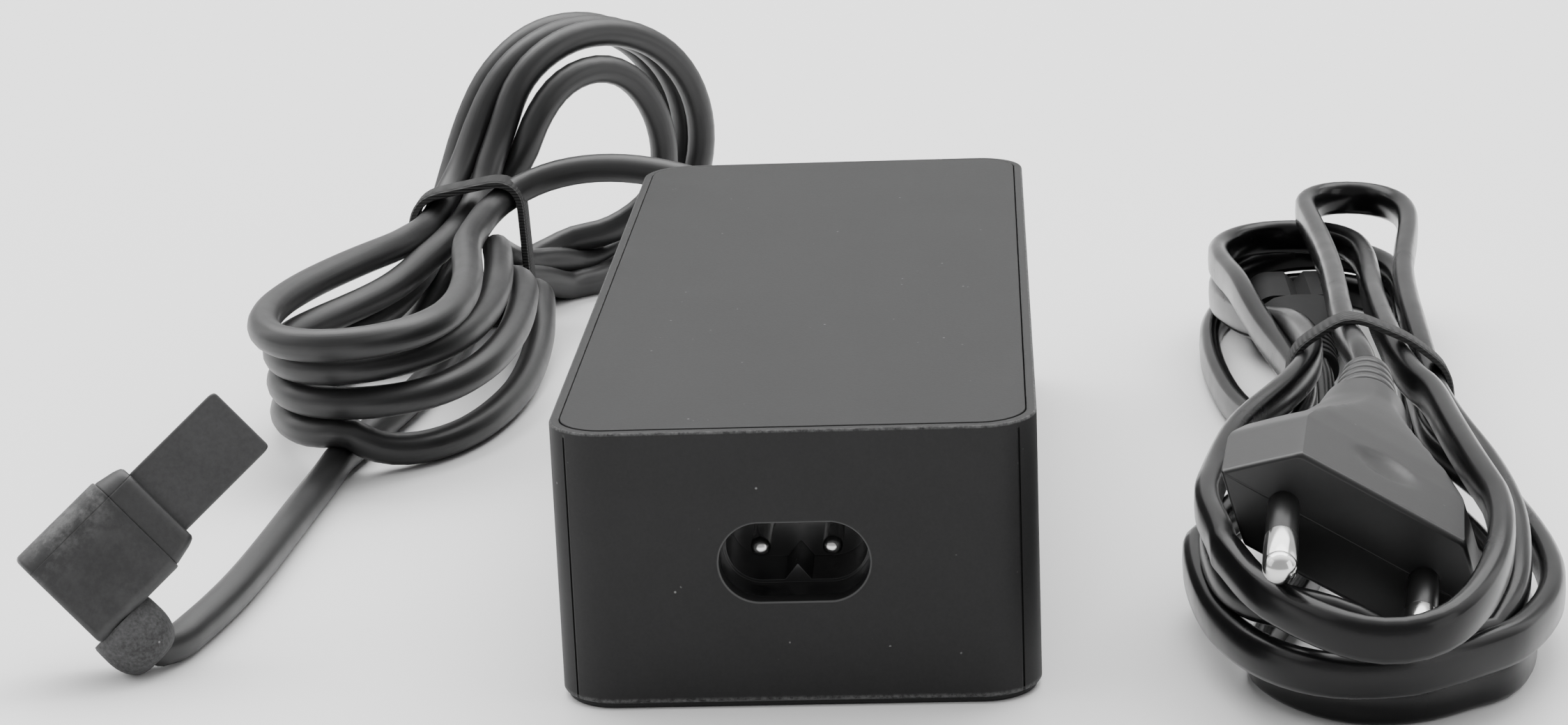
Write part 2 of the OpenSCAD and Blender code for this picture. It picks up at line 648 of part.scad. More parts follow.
// Power semiconductor against the -X face of a sheet at x = 0, screwed on at z
module to220() {
    x = -sink_t / 2;
    z = screw_z;
    difference() {
        translate([x - 1.3, -5.1, fet_z]) cube([1.3, 10.2, z + 2.9 - fet_z]);
        translate([x - 3, 0, z]) rotate([0, 90, 0]) cylinder(d = 3.6, h = 6, $fn = 32);
    }
    translate([x - 4.5, -5.1, fet_z]) cube([3.3, 10.2, z - 3.6 - fet_z]);
    for (p = to220_leads) translate([p.x, p.y, board_z - 1.5])
        cylinder(d = lead_d, h = fet_z + 0.4 - board_z + 1.5, $fn = 16);
}
module switching_transistor() color(black) {
    translate([fet_at.x, fet_at.y, 0]) to220();
}
module output_rectifier() color(black) {
    translate([rect_at.x, rect_at.y, 0]) rotate([0, 0, 180]) to220();
}
module heat_sink_screws() color(metal) {
    for (q = [[fet_at, 0], [rect_at, 180]]) translate([q[0].x, q[0].y, screw_z])
        rotate([0, 0, q[1]]) {
            rotate([0, 90, 0]) cylinder(d = 2.9, h = sink_t + 2.6, center = true, $fn = 32);
            difference() {
                translate([-sink_t / 2 - 1.3, 0, 0]) rotate([0, -90, 0])
                    cylinder(d = 5.6, h = 2, $fn = 32);
                translate([-sink_t / 2 - 3.3, 0, 0]) cube([1.6, 0.8, 6], center = true);
            }
        }
}

// Transformer: E-E core, bobbin with pin rails, winding
leg_w = 8;
yoke = 4;
win_w = (core_w - leg_w) / 2 - 3.6;
module at_trafo() {
    translate([trafo_at.x, trafo_at.y, core_z]) children();
}
module transformer_core() color(ferrite) {
    at_trafo() rotate([90, 0, 0]) linear_extrude(core_t, center = true) difference() {
        translate([0, core_h / 2]) square([core_w, core_h], center = true);
        for (s = [-1, 1]) translate([s * (leg_w + win_w) / 2, core_h / 2])
            square([win_w, core_h - 2 * yoke], center = true);
        translate([0, core_h / 2]) square([leg_w, 0.3], center = true);
    }
}
module transformer_bobbin() color(black) {
    h = core_h - 2 * yoke - 0.4;
    w = leg_w + 2 * win_w - 0.6;
    difference() {
        at_trafo() {
            for (z = [yoke + 0.2, yoke + h - 0.6]) translate([0, 0, z])
                linear_extrude(0.8) rrect2d(w, core_t + 15, 1.5);
            translate([0, 0, yoke + 0.2]) linear_extrude(h)
                rrect2d(leg_w + 2, core_t + 2, 1);
            for (s = [-1, 1]) translate([-w / 2, s * (core_t / 2 + 5.5) - 2, -0.4])
                cube([w, 4, yoke + 0.8]);
        }
        at_trafo() translate([0, 0, core_h / 2])
            cube([leg_w + 0.4, core_t + 0.4, core_h], center = true);
        for (p = trafo_leads) translate([p.x, p.y, top_z - 1])
            cylinder(d = lead_d + 2 * pin_gap, h = 3, $fn = 16);
    }
}
module transformer_winding() color(copper) {
    h = core_h - 2 * yoke - 0.4;
    w = leg_w + 2 * win_w - 1.2;
    at_trafo() translate([0, 0, yoke + 1.1]) linear_extrude(h - 1.8) difference() {
        rrect2d(w, core_t + 13, 4);
        rrect2d(leg_w + 2.2, core_t + 2.2, 1);
    }
    for (p = trafo_leads) translate([p.x, p.y, board_z - 1.5])
        cylinder(d = lead_d, h = top_z + 1.8 - board_z + 1.5, $fn = 16);
}

module optocoupler() color(black) {
    translate([opto_at.x - 3.25, opto_at.y - 2.3, top_z + 0.6]) cube([6.5, 4.6, 3.3]);
    for (p = opto_leads) {
        s = sign(p.x - opto_at.x);
        translate([p.x, p.y, board_z - 1.5])
            cylinder(d = lead_d - 0.2, h = board_t + 3.4, $fn = 16);
        translate([p.x - s * 0.5, p.y, board_z + board_t + 1.75])
            cube([1.4, 0.5, 0.3], center = true);
    }
}

// Upright daughter board with the control chip
module control_board() color("#2e6b3c") {
    translate([ctrl_at.x - 7, ctrl_at.y - 0.5, top_z + 0.3]) cube([14, 1, room_h - 7.6]);
    translate([ctrl_at.x - 2.5, ctrl_at.y - 2.1, top_z + 4]) cube([5, 1.7, room_h - 14.4]);
    for (p = ctrl_leads) translate([p.x, p.y, board_z - 1.5])
        cylinder(d = lead_d - 0.2, h = board_t + 3, $fn = 16);
}

module heat_spreader() color(metal) {
    d = ledge_in + 0.4;
    translate([0, 0, spreader_z]) linear_extrude(spreader_t)
        rrect2d(case_w - 2 * d, case_l - 2 * d, corner_r - d);
}

// Pads between the hot parts and the spreader: [x, y, width, length, underside]
pads = [
    [sink1_at.x - sink_top_w / 2, sink1_at.y, sink_top_w, sink_l - 2, sink_z],
    [sink2_at.x + sink_top_w / 2, sink2_at.y, sink_top_w, 20, sink_z],
    [trafo_at.x, trafo_at.y, core_w - 6, core_t, core_z + core_h],
    [bulk_at.x, bulk_at.y, 8, bulk_l - 10, top_z + 0.2 + bulk_d]];
module thermal_pads() color("#8fa3b5") {
    for (p = pads) translate([p[0], p[1], (p[4] + spreader_z) / 2])
        cube([p[2], p[3], spreader_z - p[4]], center = true);
}

module insulating_sheet() color("#e8e4d4") {
    d = in + rib_gap + 1.4 + 0.4;
    translate([0, 0, base_t]) linear_extrude(0.4) difference() {
        rrect2d(case_w - 2 * d, case_l - 2 * d, corner_r - d);
        for (p = posts) translate([p.x, p.y]) circle(post_d / 2 + 1.8);
    }
}

// Two insulated wires from the cord down to the board
module output_wires() color("#a33a34") {
    y0 = case_l / 2 - in - 1.8;
    for (s = [-1, 1]) cord([[s * 1.3, y0, relief_z], [s * 1.3, y0 - 1.2, relief_z],
        [s * 1.8, y0 - 3.4, relief_z - 0.8],
        [s * 2.5, board_b - 0.6, relief_z - 3.4], [s * 2.6, board_b - 1.5, top_z + 2],
        [s * 2.6, board_b - 1.5, board_z - 1]], 1.9, 1.9, 8, up = [1, 0, 0]);
}

// ---------------------------------------------------------------- output cord

// Strain relief: flange inside, neck through the wall, shoulder and ribbed tail
module cord_strain_relief() color(black) {
    neck = relief_hole_d / 2 - pin_gap * 2;
    translate([0, case_l / 2, relief_z]) rotate([-90, 0, 0]) {
        rotate_extrude() polygon([[0, -in - 1.7], [5.8, -in - 1.7], [6, -in - 1.5],
            [6, -in - seat_gap], [neck, -in - seat_gap], [neck, seat_gap],
            [relief_d / 2, seat_gap], [relief_d / 2, 1.6], [relief_d / 2 - 0.6, 2.2], [0, 2.2]]);
        translate([0, 0, 2.2]) ribbed_tail(relief_d - 1.6, dc_d + 2.2, relief_l - 2.2, 5);
    }
}

exit_y = case_l / 2 + relief_l;
// The lead leaves the relief, arches over and dives into the tied waist of the hank
dc_route_case = [[0, exit_y, relief_z], [-0.2, 89, 17], [-4, 94.5, 17.8], [-12, 99.5, 20.2],
    [-24, 104, 24.4], [-36, 106.6, 26.8], [-46, 107.2, 26], [-53, 106.6, 23.6],
    [-58.5, 106, 20.4]];
module dc_cord_from_case() color(black) cord(dc_route_case, dc_d, dc_d, 10);

// Hank in front of the tie: a long ring of strands that narrows to its waist.
// Its outline and its hole are given as half plans about the line x = hank_x.
hank_x = -66;
module dc_hank_front() color(black) {
    linear_extrude(21.5) difference() {
        union() {
            translate([hank_x, 32]) circle(17.5);
            translate([hank_x, 32]) polygon([[-17.4, 0], [17, 0], [19.3, 24], [19.3, 44],
                [16, 58], [9, 72], [-5, 72], [-6.5, 52], [-14.5, 43], [-19.4, 32], [-20, 22]]);
        }
        union() {
            translate([hank_x, 33]) circle(11);
            translate([hank_x, 33]) polygon([[-11, 0], [10, 0], [8.5, 40], [3.4, 58],
                [-1, 58], [-3, 46], [-9, 36], [-12, 24]]);
        }
    }
    // Waist that runs on through the tie
    translate([-71, 103.9, 1.2]) cube([14, 13, 19]);
}

module dc_cord_tie() color(black) {
    translate([-64, 106.4, 10.7]) rotate([90, 0, 0]) linear_extrude(3.4, center = true)
        difference() {
            rrect2d(16, 21, 2);
            square([14, 19], center = true);
        }
}

// Hank behind the tie: an upright ring that leans against nothing and is turned
// away from the case
module dc_hank_rear() color(black) {
    translate([-43.6, 133, 23.5]) rotate([0, 0, 40]) rotate([90, 0, 0])
        linear_extrude(14, center = true) difference() {
            circle(23.5);
            circle(13.5);
        }
}

// ---------------------------------------------------------------- output plug

// Frame of the plug: +Z along the tip, +X across towards the cord boot
plug_pose = [-27.6, 47.1, -5.6];
plug_at = [-87.7, -52.9, 13.88];
module at_plug() translate(plug_at) rotate(plug_pose) children();
boot_z = -3.1;
boot_l = 6;
collar_back = 0.3;

// Section of the body: full rounding away from the boot, a small one beside it
module plug_section(inset) {
    r = plug_round - inset;
    q = 1.5 - inset / 2;
    w = plug_w / 2 - inset;
    h = plug_t / 2 - inset;
    translate([-w, -h + r]) square([2 * w - q, 2 * h - 2 * r]);
    translate([-w + r, -h]) square([2 * w - r - q, 2 * h]);
    translate([w - q - 0.1, -h + q]) square([q + 0.1, 2 * h - 2 * q]);
    for (s = [-1, 1]) {
        translate([-w + r, s * (h - r)]) circle(r);
        translate([w - q, s * (h - q)]) circle(q);
    }
}
plug_round = 3.5;
module plug_slice(z, inset) {
    translate([0, 0, z]) linear_extrude(0.01) plug_section(inset);
}
module dc_plug_body() color(dark) {
    at_plug() {
        // Body with a bevelled rear edge
        translate([0, 0, -plug_l / 2 + 0.7]) linear_extrude(plug_l - 0.7) plug_section(0);
        hull() {
            plug_slice(-plug_l / 2, 0.7);
            plug_slice(-plug_l / 2 + 0.7, 0);
        }
        // Collar that tapers to the tip
        translate([0, 0, plug_l / 2]) difference() {
            hull() {
                plug_slice(0, 0.3);
                plug_slice(collar_l - 0.8, 0.9);
                plug_slice(collar_l - 0.01, 1.4);
            }
            translate([0, 0, collar_l / 2]) linear_extrude(collar_l)
                square([tip_w, tip_t], center = true);
        }
    }
}

// Rectangular tip: a closed root seated in the collar and a shroud round the contacts
tip_root = plug_l / 2 + collar_l / 2;
tip_end = plug_l / 2 + collar_l + tip_l;
recess_d = 11;
module dc_plug_tip() color("#55565a") {
    at_plug() difference() {
        union() {
            translate([0, 0, tip_root]) linear_extrude(tip_end - tip_root - 1.9)
                square([tip_w, tip_t], center = true);
            // End that narrows a little
            translate([0, 0, tip_end - 1.9]) rotate([90, 0, 0])
                linear_extrude(tip_t, center = true)
                polygon([[-tip_w / 2, 0], [tip_w / 2, 0], [tip_w / 2 - 0.4, 1.7],
                    [tip_w / 2 - 0.8, 1.9], [-tip_w / 2 + 0.8, 1.9], [-tip_w / 2 + 0.4, 1.7]]);
        }
        translate([0, 0, tip_end - recess_d]) linear_extrude(recess_d + 1)
            square([tip_w - 2.2, tip_t - 2], center = true);
        // Key slot along one broad side
        translate([0, tip_t / 2, tip_end]) cube([1.6, 0.8, 12], center = true);
    }
}

module dc_plug_contacts() color("#c8a860") {
    at_plug() {
        // Centre pin
        translate([0, 0, tip_end - recess_d]) {
            cylinder(d = 1, h = recess_d - 2.4, $fn = 24);
            translate([0, 0, recess_d - 2.4]) cylinder(d1 = 1, d2 = 0.5, h = 0.5, $fn = 24);
        }
        // Spring strips on the two broad walls of the recess
        for (s = [-1, 1]) translate([0, s * (tip_t / 2 - 1 - 0.15), tip_end - recess_d])
            translate([-2.6, -0.15, 0]) cube([5.2, 0.3, recess_d - 1.6]);
    }
}

// Grainy boot from the side of the plug, tapering to the cord
module dc_plug_boot() color("#454547") {
    at_plug() translate([plug_w / 2, 0, boot_z]) rotate([0, 90, 0]) rotate_extrude()
        polygon(concat([[0, 0], [4.75, 0], [4.75, 0.8], [4.45, 1], [4.45, 1.4], [4.6, 1.6],
            [4.4, 2.8], [4.1, 3], [4.1, 3.4], [4.2, 3.6]],
            arc([2.6, boot_l - 1.3], 1.3, 20, 80, 4), [[0, boot_l]]));
}

dc_route_plug = [[-82, -54.8, 4.1], [-80.6, -53.8, 3.1], [-78.8, -49.8, 2.5],
    [-76.9, -41.7, 2.5], [-75.1, -29.3, 2.5], [-73.8, -11.1, 2.5], [-73, 3, 2.5],
    [-72, 15.4, 2.5]];
module dc_cord_to_plug() color(black) cord(dc_route_plug, dc_d, dc_d, 10);

// ---------------------------------------------------------------- mains plug

// Frame of the mains plug: origin at the middle of its pin face, +Z along the pins,
// +X across the pins
euro_at = [65.2, -70.3, 19];
euro_pose = [95.1, 29.7, -5.1];
module at_euro() translate(euro_at) rotate(euro_pose) children();
euro_root = 6;
euro_tilt = atan((euro_pitch - euro_tip_pitch) / 2 / euro_pin_l);
module each_euro_pin() {
    for (s = [-1, 1]) translate([s * euro_pitch / 2, 0, 0]) rotate([0, -s * euro_tilt, 0])
        children();
}
core_d = euro_sleeve_d - 0.9;

module mains_plug_body() color(dark) {
    hw = euro_w / 2;
    hh = euro_h / 2;
    at_euro() difference() {
        loft([[-euro_l, 5.5, 5, 1], [-euro_l * 0.86, 6.6, 5.3, 0.8],
            [-euro_l * 0.72, 9, 5.9, 0.4], [-euro_l * 0.6, 11.6, 6.3, 0.15],
            [-euro_l * 0.44, 15.4, 6.7, 0.05], [-euro_l * 0.3, hw - 0.1, hh, 0.03],
            [-0.7, hw, hh, 0.03], [0, hw - 0.7, hh - 0.7, 0.03]], 36);
        // Shallow round dent for the thumb on each broad side, near the pin face
        for (s = [0, 1]) rotate([0, 0, s * 180]) translate([0, hh, -euro_l * 0.23])
            rotate([90, 0, 0]) rotate_extrude($fn = 48) polygon([[0, -1], [4, -1], [4, 0.03],
                [3.2, 0.3], [2, 0.52], [0, 0.6]]);
        // Seats of the pins
        each_euro_pin() translate([0, 0, -euro_root])
            cylinder(d = core_d + 2 * pin_gap, h = euro_root + 1, $fn = 32);
        each_euro_pin() translate([0, 0, -2])
            cylinder(d = euro_sleeve_d + 2 * pin_gap, h = 3, $fn = 32);
    }
}

module mains_plug_pins() color(metal) {
    r = euro_pin_d / 2;
    bare = euro_pin_l - euro_sleeve_l;
    at_euro() each_euro_pin() rotate_extrude() polygon(concat(
        [[0, -euro_root], [core_d / 2, -euro_root], [core_d / 2, euro_sleeve_l],
         [r, euro_sleeve_l]],
        [for (q = arc([0, euro_pin_l - r], r, 0, 84, 7)) q], [[0, euro_pin_l]]));
}

module mains_pin_sleeves() color(black) {
    at_euro() each_euro_pin() translate([0, 0, -2]) difference() {
        cylinder(d = euro_sleeve_d, h = euro_sleeve_l + 2 - pin_gap, $fn = 32);
        translate([0, 0, -1])
            cylinder(d = core_d + 2 * pin_gap, h = euro_sleeve_l + 4, $fn = 32);
    }
}

module mains_plug_relief() color(dark) {
    at_euro() translate([0, 0, -euro_l]) rotate([180, 0, 0])
        ribbed_tail(9.4, ac_w + 1, ac_relief_l, 5);
}

// ---------------------------------------------------------------- mains cord

mains_route_plug = [[72.4, -16, 23.3], [72.4, -10.5, 23.6], [72.4, -4, 23.2], [73, 4, 22.2],
    [74, 10, 20.6], [74.6, 15, 19.2]];
module mains_cord_from_plug() color(black)
    cord(mains_route_plug, ac_w, ac_t, 8, 1);

// Hank round the plug: low loops on the surface, higher loops outside them
module mains_hank_front() color(black) {
    linear_extrude(10) difference() {
        union() {
            translate([69.5, -68]) scale(1) circle(24);
            polygon([[45.5, -70], [93.5, -68], [92, -30], [86, 0], [64, 0], [48, -34]]);
        }
        polygon([[52.5, -66], [56, -76], [63, -81], [75, -81], [81, -77], [83.5, -66],
            [84, -34], [79, -14], [70, -14], [54, -36]]);
    }
    translate([0, 0, 9.9]) linear_extrude(9.6) difference() {
        union() {
            translate([68, -72.5]) circle(23);
            polygon([[47.2, -64], [91, -72], [92, -30], [86, 0], [64, 0], [48, -34]]);
        }
        polygon([[51, -62], [51, -76], [55, -86], [62, -92], [76, -92], [84, -84], [86, -66],
            [84, -34], [79, -14], [70, -14], [51.6, -36]]);
    }
    // Waist that runs on through the tie
    translate([64, -1, 1.2]) cube([22, 15, 18.3]);
}

module mains_cord_tie() color(black) {
    translate([75, 4, 13.1]) rotate([90, 0, 0]) linear_extrude(3.6, center = true)
        difference() {
            rrect2d(24, 25.8, 2.5);
            translate([0, 0]) square([22, 23.8], center = true);
        }
}

// Hank behind the tie: a flat ring with the connector inside
module mains_hank_rear() color(black) {
    difference() {
        linear_extrude(19.5) difference() {
            union() {
                translate([75.8, 93]) circle(16.2);
                polygon([[64, 14], [86, 14], [88, 50], [92, 84], [92, 93], [59.6, 93],
                    [56, 78], [55.8, 56], [58.6, 38]]);
            }
            // Bed of the connector between the strands
            translate([63.4, 50]) square([18.4, 46]);
        }
    }
}

mains_route_connector = [[72.6, 38, 4.6], [72.6, 45, 4.6], [72.6, 51.2, 4.6]];
module mains_cord_to_connector() color(black)
    cord(mains_route_connector, ac_w, ac_t, 8, 1);

// ---------------------------------------------------------------- figure-8 connector

// Frame of the connector: origin at the root of its nose, +Z along the nose, lying
// flat on the surface
conn_at = [72.6, 80, 4.6];
conn_pose = [-90, 0, 0];
nose_w = inlet_w - 2 * inlet_step - 2 * mate_gap;
nose_h = inlet_h - 2 * inlet_step - 2 * mate_gap;
nose_l = inlet_depth - mate_gap;
module at_connector() translate(conn_at) rotate(conn_pose) children();

module appliance_connector() color(dark) {
    at_connector() difference() {
        union() {
            linear_extrude(nose_l)
                figure8_2d(nose_w, nose_h, ridge_h - mate_gap, ridge_w);
            // Grip behind the nose
            loft([[-grip_l, 4.2, 3.9, 1], [-grip_l * 0.8, 5.6, 4.2, 0.8],
                [-grip_l * 0.45, 7.4, 4.5, 0.6], [-1, nose_w / 2 + 0.4, nose_h / 2 + 0.4, 0.5],
                [0, nose_w / 2, nose_h / 2, 0.6]], 24);
        }
        for (s = [-1, 1]) translate([s * inlet_pitch / 2, 0, nose_l - 12])
            cylinder(d = 3.4 + 2 * pin_gap, h = 11, $fn = 32);
        for (s = [-1, 1]) translate([s * inlet_pitch / 2, 0, nose_l - 2])
            cylinder(d = inlet_pin_d + 0.3, h = 3, $fn = 32);
    }
}

module connector_contacts() color(metal) {
    at_connector() for (s = [-1, 1]) translate([s * inlet_pitch / 2, 0, nose_l - 12])
        difference() {
            cylinder(d = 3.4, h = 10.9, $fn = 32);
            translate([0, 0, 1]) cylinder(d = inlet_pin_d + 2 * pin_gap, h = 11, $fn = 32);
        }
}

module connector_relief() color(dark) {
    at_connector() translate([0, 0, -grip_l]) rotate([180, 0, 0])
        ribbed_tail(7.4, ac_w + 0.8, ac_relief_l - 1.6, 5);
}

// ---------------------------------------------------------------- output

housing();
top_cover();
bottom_cover();
ac_inlet();
inlet_pins();
circuit_board();
fuse();
inrush_thermistor();
x_capacitor();
line_choke_core();
line_choke_base();
line_choke_windings();
bridge_rectifier();
bulk_capacitor();
primary_heat_sink();
switching_transistor();
heat_sink_screws();
pfc_choke();
transformer_core();
transformer_bobbin();
transformer_winding();
secondary_heat_sink();
output_rectifier();
output_capacitors();
output_choke();
y_capacitor();
optocoupler();
control_board();
heat_spreader();
thermal_pads();
insulating_sheet();
output_wires();
cord_strain_relief();
dc_cord_from_case();
dc_hank_rear();
dc_cord_tie();
dc_hank_front();
dc_cord_to_plug();
dc_plug_boot();
dc_plug_body();
dc_plug_tip();
dc_plug_contacts();
mains_plug_body();
mains_plug_pins();
mains_pin_sleeves();
mains_plug_relief();
mains_cord_from_plug();
mains_hank_front();
mains_cord_tie();
mains_hank_rear();
mains_cord_to_connector();
connector_relief();
appliance_connector();
connector_contacts();
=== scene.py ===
"""A laptop power adapter with its output lead and its mains lead.

Each piece is made by an operator of its own. The sizes and colours come from property
groups in the scene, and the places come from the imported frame. Metres, +Z up, the case
stands on z = 0 with its mains inlet towards -Y.
"""

import math
from contextlib import contextmanager

import bmesh
import bpy
import mathutils
import numpy as np
from mathutils import Euler, Matrix, Vector


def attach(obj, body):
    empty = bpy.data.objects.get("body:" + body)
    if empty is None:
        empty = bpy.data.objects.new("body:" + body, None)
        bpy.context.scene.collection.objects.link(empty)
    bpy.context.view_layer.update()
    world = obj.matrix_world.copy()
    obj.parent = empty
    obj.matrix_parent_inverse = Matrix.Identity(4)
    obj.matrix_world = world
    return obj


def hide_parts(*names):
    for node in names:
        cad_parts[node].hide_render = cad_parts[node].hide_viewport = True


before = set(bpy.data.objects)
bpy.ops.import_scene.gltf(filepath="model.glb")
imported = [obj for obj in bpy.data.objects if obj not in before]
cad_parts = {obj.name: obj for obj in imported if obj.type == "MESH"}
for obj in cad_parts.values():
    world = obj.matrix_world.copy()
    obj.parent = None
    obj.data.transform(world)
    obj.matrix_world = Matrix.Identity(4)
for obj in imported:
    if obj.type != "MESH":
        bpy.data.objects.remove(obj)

bl_info = {
    "name": "Laptop power adapter",
    "version": (1, 0, 0),
    "blender": (4, 5, 0),
    "location": "View3D > Sidebar > Adapter",
    "description": "Makes the case, plugs and tied leads of a laptop power adapter",
    "category": "Object",
}

MM = 0.001
ADAPTER = "adapter"
MAINS = "mains_lead"

# Places in the case, in metres: the middle of the inlet, the output cord's exit, the
# ledge under the top panel, the foot of the wall, and the lines of the mould, which run
# in from the case's sides
INLET_Z = 0.0182
MOUTH_WIDE, MOUTH_HIGH = 0.0178, 0.0097
CORD_EXIT_Z = 0.017
LEDGE_Z = 0.0324
FOOT_Z = 0.0008
MOULD_LINE_IN = 0.0022

# Where the ties hold their bundles, along Y
OUTPUT_TIE_Y = 0.1064
MAINS_TIE_Y = 0.004


# ---------------------------------------------------------------- sizes and colours


def size(label, text, default):
    """A length in metres that a user may change."""
    return bpy.props.FloatProperty(
        name=label, description=text, default=default, min=0, subtype="DISTANCE", unit="LENGTH"
    )


def tone(label, text, default):
    """A colour that a user may change, as linear red, green and blue."""
    return bpy.props.FloatVectorProperty(
        name=label, description=text, default=default, size=3, min=0, max=1, subtype="COLOR"
    )


def amount(label, text, default, **limits):
    """A plain number that a user may change."""
    return bpy.props.FloatProperty(
        name=label, description=text, default=default, min=0, **limits
    )


class CaseSettings(bpy.types.PropertyGroup):
    """Sizes and colours of the case."""

    width: size("Width", "Width of the case across the inlet face", 0.0577)
    length: size("Length", "Length from the inlet face to the rear face", 0.141)
    height: size("Height", "Height from the surface to the rim", 0.0345)
    corner: size("Corner radius", "Radius of the upright corners", 0.007)
    wall: size("Wall", "Thickness of the moulded walls", 0.0022)
    edge: size("Edge rounding", "Rounding of the top edge of the rim", 0.0004)
    rim: size("Rim", "Width of the rim round the top panel", 0.0012)
    groove: size("Groove", "Open groove between rim and top panel", 0.00013)
    proud: size("Proud", "Height of the top panel above the rim", 0.00007)
    plastic: tone("Plastic", "Colour of the matt plastic", (0.0125, 0.0125, 0.0127))
    inlet_black: tone("Inlet", "Colour of the glossy inlet moulding", (0.006, 0.006, 0.0065))


class LeadSettings(bpy.types.PropertyGroup):
    """Sizes and colours of the two leads."""

    output_thick: size("Output cord", "Diameter of the round output cord", 0.0048)
    mains_wide: size("Mains cord, wide side", "Wide side of the flat mains cord", 0.0054)
    mains_thin: size("Mains cord, narrow side", "Narrow side of the flat mains cord", 0.0032)
    output_black: tone("Output cord", "Colour of the matt output cord", (0.014, 0.014, 0.0143))
    mains_black: tone("Mains cord", "Colour of the glossy mains cord", (0.004, 0.004, 0.0042))
    tie_black: tone("Tie", "Colour of the woven ties", (0.012, 0.012, 0.012))


class PlugSettings(bpy.types.PropertyGroup):
    """Colours of the plugs at the ends of the leads."""

    output_grey: tone("Output plug", "Colour of the output plug's body", (0.0185, 0.0185, 0.019))
    tip_grey: tone("Tip", "Colour of the output plug's tip", (0.031, 0.031, 0.0317))
    mains_black: tone("Mains plug", "Colour of the mains plug's moulding", (0.01, 0.01, 0.0102))
    metal: tone("Metal", "Colour of the plated pins", (0.72, 0.72, 0.71))


class StageSettings(bpy.types.PropertyGroup):
    """Floor and lights."""

    floor: tone("Floor", "Colour of the floor", (0.95, 0.95, 0.95))
    key_power: amount("Key light", "Power of the large light overhead", 22.0)
    side_power: amount("Side light", "Power of the left light; the right has twice that", 2.0)
    backdrop: amount("Backdrop", "Brightness of the studio behind the object", 3.2)
    room: amount("Room", "Brightness in front, as a share of the backdrop's", 0.19, max=1)


# ---------------------------------------------------------------- meshes


def linked(name, mesh):
    """A new piece for a mesh, in the scene."""
    piece = bpy.data.objects.new(name, mesh)
    bpy.context.scene.collection.objects.link(piece)
    return piece


@contextmanager
def edited(piece):
    """A piece's mesh, open for editing."""
    work = bmesh.new()
    work.from_mesh(piece.data)
    yield work
    work.to_mesh(piece.data)
    work.free()


def set_smooth(piece, angle=40.0):
    """Shade smooth, with edges sharper than the angle kept sharp."""
    piece.data.shade_smooth()
    piece.data.set_sharp_from_angle(angle=math.radians(angle))
    return piece


def solid(name, verts, faces, smooth=40.0, uv=None):
    """A new piece from points and faces in metres, shaded smooth up to an angle."""
    mesh = bpy.data.meshes.new(name)
    mesh.from_pydata([tuple(v) for v in verts], [], [tuple(f) for f in faces])
    if uv is not None:
        layer = mesh.uv_layers.new(name="UVMap")
        layer.data.foreach_set("uv", np.asarray(uv, np.float32).ravel())
    mesh.update()
    return set_smooth(linked(name, mesh), smooth)


def outward(piece):
    """Merge doubles and turn every face of a closed mesh outwards."""
    with edited(piece) as work:
        bmesh.ops.remove_doubles(work, verts=work.verts, dist=1e-6)
        bmesh.ops.recalc_face_normals(work, faces=work.faces)
    return piece


def applied(piece):
    """Replace a piece's mesh by its evaluated one and drop the modifiers."""
    bpy.context.view_layer.update()
    graph = bpy.context.evaluated_depsgraph_get()
    mesh = bpy.data.meshes.new_from_object(piece.evaluated_get(graph))
    mesh.name = piece.name
    piece.modifiers.clear()
    piece.data = mesh
    return piece


def modified(piece, kind, **settings):
    """Put a piece's mesh through one modifier."""
    step = piece.modifiers.new(kind, kind)
    for key, value in settings.items():
        setattr(step, key, value)
    return applied(piece)


def weighted(piece, smooth=40.0):
    """Shade smooth, with normals weighed by face area."""
    return modified(set_smooth(piece, smooth), "WEIGHTED_NORMAL", keep_sharp=True, weight=80)


def eased(piece, rounding, segments, angle=35.0):
    """Round the edges of a piece that are sharper than an angle."""
    modified(piece, "BEVEL", width=rounding, segments=segments, limit_method="ANGLE",
             angle_limit=math.radians(angle), miter_outer="MITER_ARC", use_clamp_overlap=True)
    return weighted(piece)


def cut(piece, tools):
    """Cut tools out of a piece and remove them."""
    for tool in tools:
        modified(piece, "BOOLEAN", operation="DIFFERENCE", solver="EXACT", object=tool)
        bpy.data.objects.remove(tool, do_unlink=True)
    return piece


def copied(node, name):
    """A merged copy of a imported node's mesh, flat areas joined to single faces."""
    piece = linked(name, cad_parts[node].data.copy())
    piece.data.name = name
    piece.data.materials.clear()
    with edited(piece) as work:
        bmesh.ops.remove_doubles(work, verts=work.verts, dist=2e-6)
        bmesh.ops.dissolve_limit(
            work, angle_limit=math.radians(0.6), verts=work.verts, edges=work.edges
        )
    return piece


def cropped(piece, unwanted, sides):
    """Drop the points for which a test holds and close the holes of up to so many sides."""
    with edited(piece) as work:
        bmesh.ops.delete(work, geom=[v for v in work.verts if unwanted(v.co)], context="VERTS")
        rims = [e for e in work.edges if e.is_boundary]
        bmesh.ops.holes_fill(work, edges=rims, sides=sides)
        bmesh.ops.recalc_face_normals(work, faces=work.faces)
    return piece


def joined_pieces(name, pieces):
    """Several meshes as one piece."""
    work = bmesh.new()
    for piece in pieces:
        work.from_mesh(piece.data)
    mesh = bpy.data.meshes.new(name)
    work.to_mesh(mesh)
    work.free()
    for piece in pieces:
        bpy.data.objects.remove(piece, do_unlink=True)
    return linked(name, mesh)


def arc(centre, radius, start, end, steps):
    """Points of an arc from one angle in degrees to another."""
    angles = [math.radians(start + (end - start) * k / steps) for k in range(steps + 1)]
    return [
        (centre[0] + radius * math.cos(a), centre[1] + radius * math.sin(a)) for a in angles
    ]


